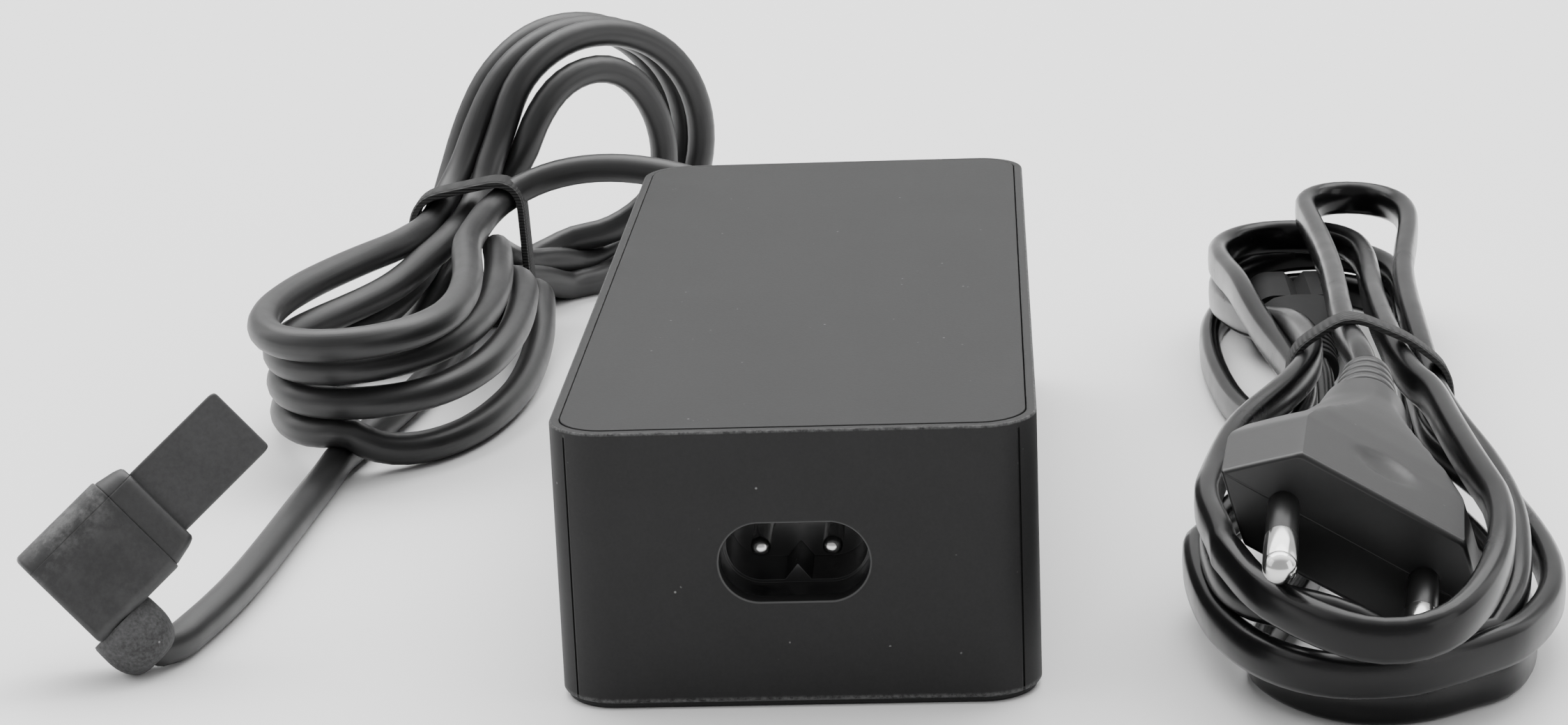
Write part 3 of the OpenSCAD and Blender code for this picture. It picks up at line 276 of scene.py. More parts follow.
def rounded_outline(wide, long, radius, steps):
    """Points of a rounded rectangle about the origin, anticlockwise."""
    x, y = wide / 2 - radius, long / 2 - radius
    points = []
    for quarter, middle in enumerate(((x, y), (-x, y), (-x, -y), (x, -y))):
        points += arc(middle, radius, 90 * quarter, 90 * quarter + 90, steps)
    return points


def ring_at(outline, z):
    """A flat outline raised to a height."""
    return [(x, y, z) for x, y in outline]


def quads(rows, count, closed=False):
    """Faces between neighbouring rows of points, where each row runs round."""
    return [
        (i * count + j, i * count + (j + 1) % count,
         (i + 1) % rows * count + (j + 1) % count, (i + 1) % rows * count + j)
        for i in range(rows if closed else rows - 1) for j in range(count)
    ]


def lofted(name, rings, smooth=40.0, closed=False):
    """A solid through rings of equally many points.

    It has a flat face at each end, or else its last ring joins the first.
    """
    rows, count = len(rings), len(rings[0])
    faces = quads(rows, count, closed)
    if not closed:
        faces += [range(count)[::-1], range((rows - 1) * count, rows * count)]
    return outward(solid(name, [p for ring in rings for p in ring], faces, smooth))


def framed(name, wide, long, radius, section, closed=False):
    """A plate, or a closed wall, whose section, [inset, height], runs round a rectangle."""
    rings = [
        ring_at(rounded_outline(wide - 2 * inset, long - 2 * inset,
                                max(radius - inset, 1e-5), 20), z)
        for inset, z in section
    ]
    return lofted(name, rings, closed=closed)


def turned(name, section, steps=48):
    """A round piece from its half section, [radius, height], which starts and ends at 0."""
    verts, rows = [(0, 0, section[0][1])], section[1:-1]
    for radius, z in rows:
        verts += ring_at(arc((0, 0), radius, 0, 360, steps)[:-1], z)
    verts.append((0, 0, section[-1][1]))
    last = len(verts) - 1
    faces = [tuple(v + 1 for v in face) for face in quads(len(rows), steps)]
    for j in range(steps):
        k = (j + 1) % steps
        faces += [(0, 1 + k, 1 + j), (last - steps + j, last - steps + k, last)]
    return outward(solid(name, verts, faces))


def box(name, low, high):
    """A closed box between two corners, for cutting."""
    verts = [(x, y, z) for z in (low[2], high[2]) for y in (low[1], high[1])
             for x in (low[0], high[0])]
    faces = [(0, 2, 3, 1), (4, 5, 7, 6), (0, 1, 5, 4), (2, 6, 7, 3), (0, 4, 6, 2), (1, 3, 7, 5)]
    return solid(name, verts, faces)


# ---------------------------------------------------------------- places


def placed(piece, matrix):
    """Move the mesh, not the object, so that the piece stays at the origin."""
    piece.data.transform(matrix)
    piece.data.update()
    return piece


def along_y(at):
    """Place of a turned piece whose axis runs towards +Y."""
    return Matrix.Translation(at) @ Matrix.Rotation(-math.pi / 2, 4, "X")


def degrees(turn):
    """A turn about X, Y and Z from degrees."""
    return Euler([math.radians(a) for a in turn], "XYZ")


def pose(at, turn):
    """Place and turn of a plug's own frame, in millimetres and degrees."""
    return (Matrix.Translation(Vector(at) * MM) @ degrees(turn).to_matrix().to_4x4()
            @ Matrix.Scale(MM, 4))


def give(piece, material):
    """Make a material the piece's only one."""
    piece.data.materials.clear()
    piece.data.materials.append(material)
    for face in piece.data.polygons:
        face.material_index = 0
    return piece


def finished(piece, material, body, slot, *nodes):
    """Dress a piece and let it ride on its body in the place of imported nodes."""
    give(piece, material)
    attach(piece, body)
    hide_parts(*nodes)


# ---------------------------------------------------------------- leads

# The line of each lead in millimetres, from its exit through every loop of its bundle.
OUTPUT_LEAD_LINE = [
    (0, 84.5, 17), (-0.2, 89, 17), (-4, 94.5, 17.8), (-12, 99.5, 20.2), (-24, 104, 24.4),
    (-36, 107.2, 26.6), (-46, 109, 26), (-53.5, 109.8, 23.6), (-58.4, 107.4, 21),
    (-59.9, 102.5, 19.8), (-59.9, 94, 19.6),
    (-59.6, 79.2, 20.5), (-55.9, 56.7, 21), (-55, 36.8, 21.3), (-58, 24.5, 21.5),
    (-63.9, 18.7, 21.5), (-70.5, 16.4, 21.5), (-77, 17.7, 21.5), (-81.3, 23.2, 21.5),
    (-83.3, 31, 21.5), (-83.3, 41.9, 21.3), (-80.6, 55, 21), (-74.9, 71.8, 20.5),
    (-71, 88, 18.8), (-68.9, 104, 17.4), (-68, 113, 19.5), (-65, 120, 25),
    (-59.7, 123.4, 38.4), (-52, 129.4, 44.5), (-44.7, 135.1, 45.5), (-37.5, 140.7, 42.9),
    (-31.8, 145.2, 36.7), (-28.9, 147.4, 27.9), (-29.4, 147.1, 18.3), (-33.1, 144.2, 10.1),
    (-39, 139.5, 4.6), (-52.5, 123, 3.4), (-56.5, 116, 6.5), (-59.1, 106, 12.5),
    (-57.7, 99.8, 15.5), (-54.5, 80.1, 16), (-53.2, 61, 15.8), (-54.5, 43.6, 16),
    (-59.1, 31.1, 16.2), (-65.1, 23.9, 16.5), (-71.6, 20.6, 16.8), (-77, 22.5, 16.8),
    (-80.8, 28.6, 16.6), (-82.5, 37, 16.4), (-80.6, 46.8, 16.2), (-75.1, 58.3, 16),
    (-69.7, 72, 16), (-67.3, 90, 16.4), (-64, 104, 17.4), (-62, 113, 19.5), (-58, 119.5, 26),
    (-56.3, 119.7, 38.1), (-48.9, 125.4, 44.5), (-41.6, 131.2, 45.5), (-34.5, 136.7, 42.9),
    (-28.7, 141.2, 36.7), (-25.8, 143.5, 27.9), (-26.3, 143.1, 18.3), (-30, 140.2, 10.1),
    (-35.9, 135.6, 4.6), (-52, 125, 3.2), (-54.5, 116, 5), (-59.1, 106, 7.6),
    (-51.8, 88, 12.5), (-50.1, 74, 12), (-49.8, 55, 11.6), (-52.4, 39.6, 11),
    (-57.9, 27.7, 11), (-65.3, 22.7, 11.2), (-72.1, 20.9, 11.6), (-77.8, 24.5, 11.6),
    (-81.3, 31.9, 11.4), (-82.8, 40.8, 11.2), (-80.9, 52.4, 11), (-76.3, 62.7, 11),
    (-72, 74, 11), (-70, 90, 12), (-68.9, 104, 12.5), (-69.5, 113, 15.5), (-67, 121, 23),
    (-63.5, 126.5, 35.4), (-61.1, 128.3, 39.3), (-55, 133.2, 44.5), (-47.6, 138.9, 45.5),
    (-40.5, 144.5, 42.9), (-34.8, 148.9, 36.7), (-31.9, 151.2, 27.9), (-32.3, 150.8, 18.3),
    (-36.1, 147.9, 10.1), (-42, 143.3, 4.6), (-55, 119, 2.6), (-59.1, 106, 2.7),
    (-50.8, 100.9, 8.5), (-49.6, 90.5, 6.5), (-48.6, 79.5, 4), (-49.2, 59, 2.4),
    (-52.9, 39.4, 2.4), (-58.6, 28.4, 2.4), (-66.2, 24.6, 2.6), (-71.8, 22, 4.4),
    (-77, 24.4, 6.3), (-80.9, 32.4, 6.3), (-83.3, 45.5, 5), (-83.6, 63.4, 2.6),
    (-79.3, 76.4, 2.4), (-73, 76, 3), (-70, 92, 5.5), (-68.9, 104, 7.6), (-66, 113, 12),
    (-60, 119, 22), (-53.1, 117.8, 32.2), (-48.9, 121.1, 38.4), (-43.2, 125.5, 40.5),
    (-38.4, 129.3, 39.3), (-34.8, 132, 35), (-32.9, 133.5, 30.4), (-31.7, 134.5, 25.6),
    (-31.6, 134.5, 20.2), (-32.6, 133.8, 14.5), (-45, 131, 6), (-51, 126, 2.6),
    (-57, 118, 2.4), (-64, 106, 2.7), (-63.8, 90, 2.4), (-64, 72, 2.4), (-66, 54, 2.4),
    (-69, 38, 2.4), (-71.2, 27, 2.4), (-72, 15.4, 2.4), (-73, 3, 2.4), (-73.8, -11.1, 2.4),
    (-75.1, -29.3, 2.4), (-76.9, -41.7, 2.4), (-78.8, -49.8, 2.4), (-80.6, -53.8, 2.9),
    (-82, -54.8, 3.9),
]
MAINS_LEAD_LINE = [
    (72.5, -16, 23.2), (72.4, -10, 23.6), (72.4, -3, 23.2), (72.2, 4, 22.4), (72.4, 16, 22.2),
    (73.2, 30, 21.6), (74, 46, 20.8), (74.4, 62, 20), (74.4, 76, 19.5), (74.2, 88, 19.2),
    (74, 95, 19), (75.4, 100, 18.9), (78.6, 103.4, 18.8), (82.6, 104.4, 18.7),
    (86.6, 103.2, 18.5), (89.6, 99.6, 18.3), (90.6, 94.6, 18.1), (90.2, 87, 18),
    (88.9, 78, 17.8), (86.6, 64, 17.6), (85, 48, 17.4), (84, 28, 17.4), (83.4, 12, 17),
    (83.2, 4, 16), (84.5, -10, 14.5), (87.2, -24, 13), (87.9, -39.1, 12.6), (87.8, -45.9, 11.6),
    (86, -60, 10.4), (83.8, -68, 9.2), (79.8, -74.3, 8.6), (75, -78, 8.4), (70.8, -80.6, 8.6),
    (67.4, -81.6, 10.4), (64.4, -82, 13.4), (60.6, -81.4, 14.7), (56.6, -78.6, 14.4),
    (53, -74.2, 14), (50.4, -66, 13.9), (49.8, -56, 13.6), (50, -47, 13.6), (56, -36, 13.2),
    (61, -18, 13.6), (66.8, 4, 13.6), (66.4, 18, 14), (64.8, 34, 14.4), (62.6, 50, 14.8),
    (60.6, 66, 15.2), (59.5, 79, 14.4), (60, 89, 13.6), (63, 96.8, 13.2), (68.5, 101.5, 13),
    (74.6, 101.4, 13), (79.6, 97, 13.4), (82, 89, 14), (82.2, 78, 14.8), (81.2, 62, 16.2),
    (79.9, 46, 17.8), (79, 26, 19), (78.8, 14, 19.8), (78.8, 4, 19.6), (80, -8, 19.4),
    (81.4, -10.7, 19.6), (81.8, -27, 19.6), (82.5, -42.9, 19.6), (83.2, -51.6, 19.4),
    (83.6, -58, 19.3), (83.3, -64.4, 19.2), (82.4, -70.4, 18.9), (81.1, -76.4, 18.3),
    (79.2, -81.8, 17.5), (76.8, -86.8, 16.6), (73.6, -91.2, 15.7), (69, -93.8, 15.2),
    (64, -93.6, 15.4), (59.6, -90.2, 16.2), (55.8, -85.4, 16.8), (52.6, -79, 17.2),
    (49.1, -54.8, 17.8), (50.3, -45.2, 18), (52.3, -35.2, 18.4), (55.5, -24, 19),
    (62.4, -10, 19.4), (67, 4, 19), (68.2, 16, 18.4), (67.2, 30, 16.6), (64.8, 46, 13.8),
    (61.4, 62, 11), (59.6, 76, 9), (60, 88, 8.2), (63.2, 99, 8.1), (69.6, 106.4, 8.1),
    (77.4, 109, 8.1), (84.4, 105.6, 8.1), (88.6, 96, 8.1), (88.8, 84, 8.1), (87.2, 66, 8.1),
    (85.6, 48, 8.1), (84.6, 30, 8.1), (84, 16, 8.1), (83.4, 4, 8.4), (86, -8, 8.1),
    (89, -20, 8.1), (90.8, -36.3, 8.1), (91.4, -46, 8.1), (91, -55.1, 8.1), (89.2, -63.1, 8.1),
    (85, -71.9, 8.1), (78.3, -79.6, 8.4), (71.3, -85.1, 8.8), (64.4, -87.7, 9),
    (58, -85.1, 8.8), (52.8, -76.9, 8.4), (49.4, -64.5, 8.1), (48.2, -50.5, 8.1),
    (48.7, -36.9, 8.1), (51.6, -36, 8.1), (59, -16, 8.1), (66.6, 4, 8.2), (64.8, 14, 6.4),
    (61.6, 27, 3.6), (59.2, 40, 2.7), (57.8, 54, 2.7), (57.4, 68, 2.7), (58.4, 82, 2.7),
    (61.8, 95, 2.7), (68.6, 104.4, 2.7), (77, 107.6, 2.7), (84.4, 104.4, 2.7), (88.4, 95, 2.7),
    (88.6, 82, 2.7), (87.2, 64, 2.7), (85.4, 46, 2.7), (84, 28, 2.7), (82.2, 14, 2.7),
    (80.4, 4, 2.7), (83, -10, 2.7), (86.5, -28, 2.7), (88, -46, 2.7), (86.6, -62, 2.7),
    (82.6, -73, 2.7), (79.2, -73.5, 2.7), (73.8, -78.3, 2.7), (68, -80, 2.7),
    (62.6, -78.6, 2.7), (57.5, -73.3, 2.7), (53.7, -64.9, 2.7), (54.6, -61, 2.7),
    (57.6, -52, 2.7), (61, -43, 2.7), (63.8, -33, 2.7), (65.6, -21, 2.7), (67, -9, 2.7),
    (68, 4, 2.7), (70, 16, 2.7), (71.4, 28, 3.2), (72.3, 38, 4.4), (72.6, 45, 4.6),
    (72.6, 51.2, 4.6),
]

# Place and turn of the plugs' own frames: +Z along the pins, +X across the plug
OUTPUT_PLUG = (-87.7, -52.9, 13.88), (-27.6, 47.1, -5.6)
MAINS_PLUG = (65.2, -70.3, 19), (95.1, 29.7, -5.1)
CONNECTOR = (72.6, 80, 4.6), (-90, 0, 0)
OUTPUT_PLUG_POSE, MAINS_PLUG_POSE, CONNECTOR_POSE = (
    pose(*plug) for plug in (OUTPUT_PLUG, MAINS_PLUG, CONNECTOR)
)

# Half width and half thickness of the mains plug and its strain relief, by distance
# from the pin face, in millimetres
PLUG_SHAPE = np.array([
    (-56, 4.4, 4.4), (-41, 5.5, 5), (-35.3, 6.6, 5.3), (-29.5, 9, 5.9), (-24.6, 11.6, 6.3),
    (-18, 15.4, 6.7), (-12.3, 17.55, 6.85), (-0.7, 17.65, 6.85), (0.2, 17.6, 6.8),
])


# Room for half a cord round the plug in the bundle, and how far its face counts, both in
# millimetres like all sizes in which the cords settle
PLUG_ROOM = 1.7
PLUG_FACE = 0.2
PIN_OFF = 9.3
PIN_LONG = 14.5
PIN_ROOM = 3.9, 7.2, 4.9
CONNECTOR_BOXES = (
    ((62.7, 71.0, -1), (82.5, 96.8, 11.7)),
    ((66.9, 50, -1), (78.3, 71.5, 11.4)),
)

# How strongly each round of settling evens out bends, parts strands and keeps the length
EVEN, PART, KEEP = 0.35, 0.3, 0.4
# Distance between the points of a cord, rounds of settling, and points held at each end
STEP = 2.4
ROUNDS = 300
FIXED_ENDS = 4
# In thicknesses of the cord: how far along it a point stays its own neighbour, how close
# two strands have to lie to be watched, and how far apart they end
OWN_LENGTH, NEARBY, CLEAR = 2.2, 1.8, 1.01
# After how many rounds the strands that lie close to each other are looked up again
LOOK_AGAIN = 8


def reach_along(line):
    """Distance from the start of a line to each of its points."""
    return np.r_[0, np.cumsum(np.linalg.norm(np.diff(line, axis=0), axis=1))]


def spaced(line, count, closed=False):
    """So many points, evenly spaced along a line."""
    along = reach_along(line)
    at = np.linspace(0, along[-1], count, endpoint=not closed)
    return np.stack([np.interp(at, along, column) for column in line.T], 1)


def smooth_line(points):
    """Points a step apart along the smooth curve through given points."""
    p = np.array(points, float)
    p = np.vstack([2 * p[0] - p[1], p, 2 * p[-1] - p[-2]])
    parts = []
    for a, b, c, d in zip(p[:-3], p[1:-2], p[2:-1], p[3:]):
        t = np.linspace(0, 1, max(2, int(np.linalg.norm(c - b) / 0.5)), endpoint=False)[:, None]
        parts.append(
            0.5
            * (2 * b + (c - a) * t + (2 * a - 5 * b + 4 * c - d) * t**2
               + (3 * b - a - 3 * c + d) * t**3)
        )
    line = np.vstack(parts + [p[-2][None]])
    return spaced(line, int(round(reach_along(line)[-1] / STEP)) + 1)


def keep_off_mains_plug(x):
    """Push points of a cord out of the mains plug that lies in its loops."""
    turn = np.array(MAINS_PLUG_POSE.to_3x3()) / MM
    at = np.array(MAINS_PLUG_POSE.translation) / MM
    q = (x - at) @ turn
    wide = np.interp(q[:, 2], PLUG_SHAPE[:, 0], PLUG_SHAPE[:, 1]) + PLUG_ROOM
    thick = np.interp(q[:, 2], PLUG_SHAPE[:, 0], PLUG_SHAPE[:, 2]) + PLUG_ROOM
    out = ((np.abs(q[:, 0]) / wide) ** 4 + (np.abs(q[:, 1]) / thick) ** 4) ** 0.25
    front = PLUG_FACE + PLUG_ROOM - q[:, 2]
    inside = (out < 1) & (front > 0) & (q[:, 2] > PLUG_SHAPE[0, 0])
    nose = inside & (front < 3) & (front < (1 - out) * thick)
    side = inside & ~nose
    q[side, :2] /= np.maximum(out[side], 0.3)[:, None]
    q[nose, 2] += front[nose]
    return q @ turn.T + at


def keep_off_connector(x):
    """Push points of a cord out of the connector that lies in the rear loops."""
    for low, high in CONNECTOR_BOXES:
        inside = ((x > low) & (x < high)).all(1)
        ways = np.stack(
            [x[:, 0] - low[0], high[0] - x[:, 0], high[1] - x[:, 1], high[2] - x[:, 2]], 1
        )
        way = np.argmin(ways, 1)
        for k, axis, value in ((0, 0, low[0]), (1, 0, high[0]), (2, 1, high[1]), (3, 2, high[2])):
            x[inside & (way == k), axis] = value
    return x


def keep_off_mains_pins(x):
    """Push points of a cord out of the two pins and away from their ends."""
    way = np.array(MAINS_PLUG_POSE.to_3x3() @ Vector((0, 0, 1))) / MM
    for side in (-PIN_OFF, PIN_OFF):
        at = np.array(MAINS_PLUG_POSE @ Vector((side, 0, 0))) / MM
        along = np.clip((x - at) @ way, 0, PIN_LONG)
        off = x - at - along[:, None] * way
        far = np.linalg.norm(off / PIN_ROOM, axis=1)
        hit = far < 1
        x[hit] += off[hit] * (1 / np.maximum(far[hit], 0.25) - 1)[:, None]
    return x


def settled(points, thin, wide, hold, obstacles=()):
    """Let a cord settle: its strands bed on the floor and on each other.

    The cord keeps its length and its ends. A flat cord stands on its narrow side, so
    heights are scaled until its section counts as round.
    """
    x = smooth_line(points)
    home, count = x.copy(), len(x)
    rest = np.linalg.norm(np.diff(x, axis=0), axis=1).mean()
    scale = np.array([1, 1, thin / wide])
    free = np.ones((count, 1), bool)
    free[:FIXED_ENDS] = free[-FIXED_ENDS:] = False
    first, second = np.triu_indices(count, int(OWN_LENGTH * thin / STEP) + 1)
    for turn in range(ROUNDS):
        move = hold * (home - x)
        move[1:-1] += EVEN * ((x[:-2] + x[2:]) / 2 - x[1:-1])
        x = np.where(free, x + move, x)
        if turn % LOOK_AGAIN == 0:
            y = x * scale
            near = np.linalg.norm(y[first] - y[second], axis=1) < thin * NEARBY
            a, b = first[near], second[near]
        for _ in range(2):
            gap = (x[a] - x[b]) * scale
            apart = np.linalg.norm(gap, axis=1) + 1e-9
            over = np.clip(thin * CLEAR - apart, 0, None)
            push = gap / apart[:, None] * over[:, None] * PART / scale
            hit = over > 0
            shift, touched = np.zeros_like(x), np.zeros(count)
            for end, way in ((a, 1), (b, -1)):
                np.add.at(shift, end[hit], way * push[hit])
                np.add.at(touched, end[hit], 1)
            x = np.where(free, x + shift / np.maximum(touched, 1)[:, None] ** 0.5, x)
        for keep_off in obstacles:
            x = np.where(free, keep_off(x.copy()), x)
        x[:, 2] = np.where(free[:, 0], np.maximum(x[:, 2], wide / 2), x[:, 2])
        for _ in range(2):
            part = np.diff(x, axis=0)
            long = np.linalg.norm(part, axis=1)[:, None]
            pull = part * (long - rest) / long * KEEP
            shift = np.zeros_like(x)
            shift[:-1] += pull
            shift[1:] -= pull
            x = np.where(free, x + shift, x)
    return x


def cord_skin(name, line, wide, thin, sides):
    """A mesh tube round a line in metres, its wide side upright, with closed ends."""
    along = np.gradient(line, axis=0)
    along /= np.linalg.norm(along, axis=1)[:, None]
    across = np.cross(along, [0, 0, 1.0])
    strong = np.linalg.norm(across, axis=1)
    # Where the line runs upright, the sides carry on from the point before
    for i in range(1, len(line)):
        if strong[i] < 0.3 or across[i] @ across[i - 1] < 0:
            side = across[i - 1] - (across[i - 1] @ along[i]) * along[i]
            if across[i] @ side < 0 or strong[i] < 0.3:
                across[i] = side
        across[i] /= np.linalg.norm(across[i])
    across[0] /= np.linalg.norm(across[0])
    up = np.cross(across, along)
    turns = np.linspace(0, 2 * np.pi, sides, endpoint=False)
    x, y = np.cos(turns) * thin / 2, np.sin(turns) * thin / 2
    y = y + np.sign(np.round(y, 9)) * (wide - thin) / 2
    verts = line[:, None] + across[:, None] * x[None, :, None] + up[:, None] * y[None, :, None]
    last = (len(line) - 1) * sides
    faces = quads(len(line), sides) + [range(sides)[::-1], range(last, last + sides)]
    reach = reach_along(line) * 10
    uv = []
    for u0, u1 in zip(reach[:-1], reach[1:]):
        for j in range(sides):
            v0, v1 = j / sides, (j + 1) / sides
            uv += [(u0, v0), (u0, v1), (u1, v1), (u1, v0)]
    uv += [(0, 0)] * (2 * sides)
    return solid(name, verts.reshape(-1, 3), faces, 60, uv)


def strands_across(line, y, thin, wide, low, high):
    """Outline points, [x, z] in metres, of every strand that crosses a plane of constant y.

    Only strands between two values of x count.
    """
    points = []
    near = (np.abs(line[:, 1] - y) < 2 * MM) & (line[:, 0] > low) & (line[:, 0] < high)
    for x, z in line[near][:, [0, 2]]:
        for a in np.linspace(0, 2 * np.pi, 24, endpoint=False):
            lift = math.copysign((wide - thin) / 2, math.sin(a))
            points.append((x + thin / 2 * math.cos(a), z + thin / 2 * math.sin(a) + lift))
    return points


# Section of a tie, as shares of its thickness outwards and of its width along the bundle
STRAP = [(0.0, -0.4), (0.15, -0.5), (0.8, -0.5), (1.0, -0.42),
         (1.0, 0.42), (0.8, 0.5), (0.15, 0.5), (0.0, 0.4)]
STRAP_GAP = 0.0004
STRAP_FLOOR = 0.0002


def wrapped_band(name, outline, y, thick, deep):
    """A strap drawn tight round outline points in the plane of constant y."""
    ring = np.array([outline[i] for i in mathutils.geometry.convex_hull_2d(outline)])
    if np.sum(ring[:, 0] * np.roll(ring[:, 1], -1) - np.roll(ring[:, 0], -1) * ring[:, 1]) < 0:
        ring = ring[::-1]
    for _ in range(2):
        ring = spaced(np.vstack([ring, ring[:1]]), 96, closed=True)
        for _ in range(3):
            ring = (np.roll(ring, 1, 0) + 2 * ring + np.roll(ring, -1, 0)) / 4
    way = np.roll(ring, -1, 0) - np.roll(ring, 1, 0)
    way /= np.linalg.norm(way, axis=1)[:, None]
    out = np.stack([way[:, 1], -way[:, 0]], 1)
    verts = []
    for p, n in zip(ring, out):
        for a, b in STRAP:
            q = p + n * (STRAP_GAP + thick * a)
            # Along the floor the strap lies flat, its outer side lowest
            verts.append((q[0], y + deep * b, max(q[1], STRAP_FLOOR * (2 - a))))
    band = solid(name, verts, quads(len(ring), len(STRAP), closed=True), 50)
    return set_smooth(outward(band), 50)


# ---------------------------------------------------------------- shader nodes


def node_group(name, kind, inputs, outputs):
    """A node group with named sockets, its given values and its output node."""
    tree = bpy.data.node_groups.new(name, kind)
    for label, socket_type, value in inputs:
        socket = tree.interface.new_socket(
            label, in_out="INPUT", socket_type=f"NodeSocket{socket_type}"
        )
        if value is not None:
            socket.default_value = value
    for label, socket_type in outputs:
        tree.interface.new_socket(label, in_out="OUTPUT", socket_type=f"NodeSocket{socket_type}")
    return tree, tree.nodes.new("NodeGroupInput").outputs, tree.nodes.new("NodeGroupOutput")


def feed(node, values):
    """Set a node's inputs, each to a plain value or to another node's output."""
    for label, value in values.items():
        socket = node.inputs[label]
        if isinstance(value, bpy.types.NodeSocket):
            node.id_data.links.new(value, socket)
        else:
            socket.default_value = (*value, 1) if socket.type == "RGBA" else value
    return node


def new_node(tree, kind, values=None, **settings):
    """A new node with settings, its inputs linked or set."""
    node = tree.nodes.new(kind)
    for key, value in settings.items():
        setattr(node, key, value)
    return feed(node, values or {})


def value_of(tree, operation, a, b=0.5, c=0.5, clamp=False):
    """Output of a math node."""
    return new_node(tree, "ShaderNodeMath", {0: a, 1: b, 2: c},
                    operation=operation, use_clamp=clamp).outputs[0]


def product(tree, first, *others):
    """Product of values."""
    for other in others:
        first = value_of(tree, "MULTIPLY", first, other)
    return first


def varied(tree, noise, share, middle, clamp=False):
    """A value that follows a noise about its middle."""
    centred = value_of(tree, "SUBTRACT", noise, 0.5)
    return value_of(tree, "MULTIPLY_ADD", centred, share, middle, clamp)


def noise_of(tree, place, scale, detail=2.0, rough=0.5):
    """Factor of a noise texture."""
    return new_node(tree, "ShaderNodeTexNoise", {
        "Vector": place, "Scale": scale, "Detail": detail, "Roughness": rough,
    }).outputs["Fac"]


def cells_of(tree, place, scale, feature):
    """Distance of a cell texture."""
    return new_node(tree, "ShaderNodeTexVoronoi", {"Vector": place, "Scale": scale},
                    feature=feature).outputs["Distance"]


def waves_of(tree, place, scale, distortion, direction):
    """Factor of a wave texture."""
    return new_node(tree, "ShaderNodeTexWave", {
        "Vector": place, "Scale": scale, "Distortion": distortion,
    }, bands_direction=direction).outputs["Fac"]


def between(tree, value, low, high, first=0.0, second=1.0):
    """A value mapped from one range to another, smooth and clamped."""
    return new_node(tree, "ShaderNodeMapRange", {
        "Value": value, "From Min": low, "From Max": high, "To Min": first, "To Max": second,
    }, interpolation_type="SMOOTHSTEP", clamp=True).outputs["Result"]


def stripe(tree, value, rise, fall):
    """A band of a value that rises over one range and falls over another."""
    return product(tree, between(tree, value, *rise), between(tree, value, *fall))


def mixed(tree, factor, first, second, blend="MIX"):
    """A colour between two, or their product."""
    return new_node(tree, "ShaderNodeMix", {"Factor": factor, 6: first, 7: second},
                    data_type="RGBA", blend_type=blend).outputs[2]


def axes(tree, place):
    """X, Y and Z of a place."""
    return new_node(tree, "ShaderNodeSeparateXYZ", {"Vector": place}).outputs


def own_axes(tree, place, plug):
    """X, Y and Z of a place along the axes of a plug's own frame, in metres."""
    at, turn = plug
    own = new_node(tree, "ShaderNodeMapping", {
        "Vector": place, "Location": Vector(at) * MM, "Rotation": degrees(turn),
    }, vector_type="TEXTURE")
    return axes(tree, own.outputs[0])


# ---------------------------------------------------------------- finishes


def start_material(name):
    """A material, its tree and its object coordinates."""
    material = bpy.data.materials.new(name)
    material.use_nodes = True
    tree = material.node_tree
    return material, tree, tree.nodes.new("ShaderNodeTexCoord").outputs["Object"]


def surfaced(material, colour, rough, height, depth, strength=1.0, **others):
    """Give a material its colour, its roughness and its relief of a depth in millimetres."""
    tree = material.node_tree
    relief = new_node(tree, "ShaderNodeBump",
                      {"Strength": strength, "Distance": depth * MM, "Height": height})
    feed(tree.nodes["Principled BSDF"], {
        "Base Color": colour, "Roughness": rough, "Normal": relief.outputs["Normal"],
        **{label.replace("_", " "): value for label, value in others.items()},
    })
    return material


DUST = (0.22, 0.22, 0.22)


def moulded_surface():
    """Group: the tone, gloss and height of a moulded plastic or rubber surface."""
    found = bpy.data.node_groups.get("Moulded surface")
    if found:
        return found
    tree, given, out = node_group(
        "Moulded surface", "ShaderNodeTree",
        [("Vector", "Vector", None), ("Base", "Color", (0.03, 0.03, 0.03, 1)),
         ("Grain Scale", "Float", 2600.0), ("Grain", "Float", 0.4), ("Mottle", "Float", 0.15),
         ("Dust", "Float", 0.5), ("Roughness", "Float", 0.5)],
        [("Color", "Color"), ("Roughness", "Float"), ("Height", "Float")],
    )
    place = given["Vector"]
    grain = noise_of(tree, place, given["Grain Scale"], 3.0, 0.6)
    patch = noise_of(tree, place, 90.0, 4.0, 0.6)
    # Specks of dust: the middles of some of the cells
    specks = between(tree, cells_of(tree, place, 640.0, "F1"), 0.13, 0.05)
    dust = product(tree, specks, between(tree, noise_of(tree, place, 300.0, 1.0), 0.64, 0.69))
    dust = value_of(tree, "MULTIPLY", dust, given["Dust"], clamp=True)
    shade = value_of(tree, "ADD", value_of(tree, "SUBTRACT", grain, 0.5),
                     value_of(tree, "SUBTRACT", patch, 0.5))
    shade = value_of(tree, "MULTIPLY_ADD", shade, given["Mottle"], 1.0)
    colour = mixed(tree, dust, mixed(tree, 1.0, given["Base"], shade, "MULTIPLY"), DUST)
    rough = varied(tree, patch, 0.07, given["Roughness"])
    rough = value_of(tree, "MULTIPLY_ADD", dust, 0.3, rough, clamp=True)
    height = value_of(tree, "MULTIPLY_ADD", dust, 0.2, product(tree, grain, given["Grain"]))
    feed(out, {"Color": colour, "Roughness": rough, "Height": height})
    return tree


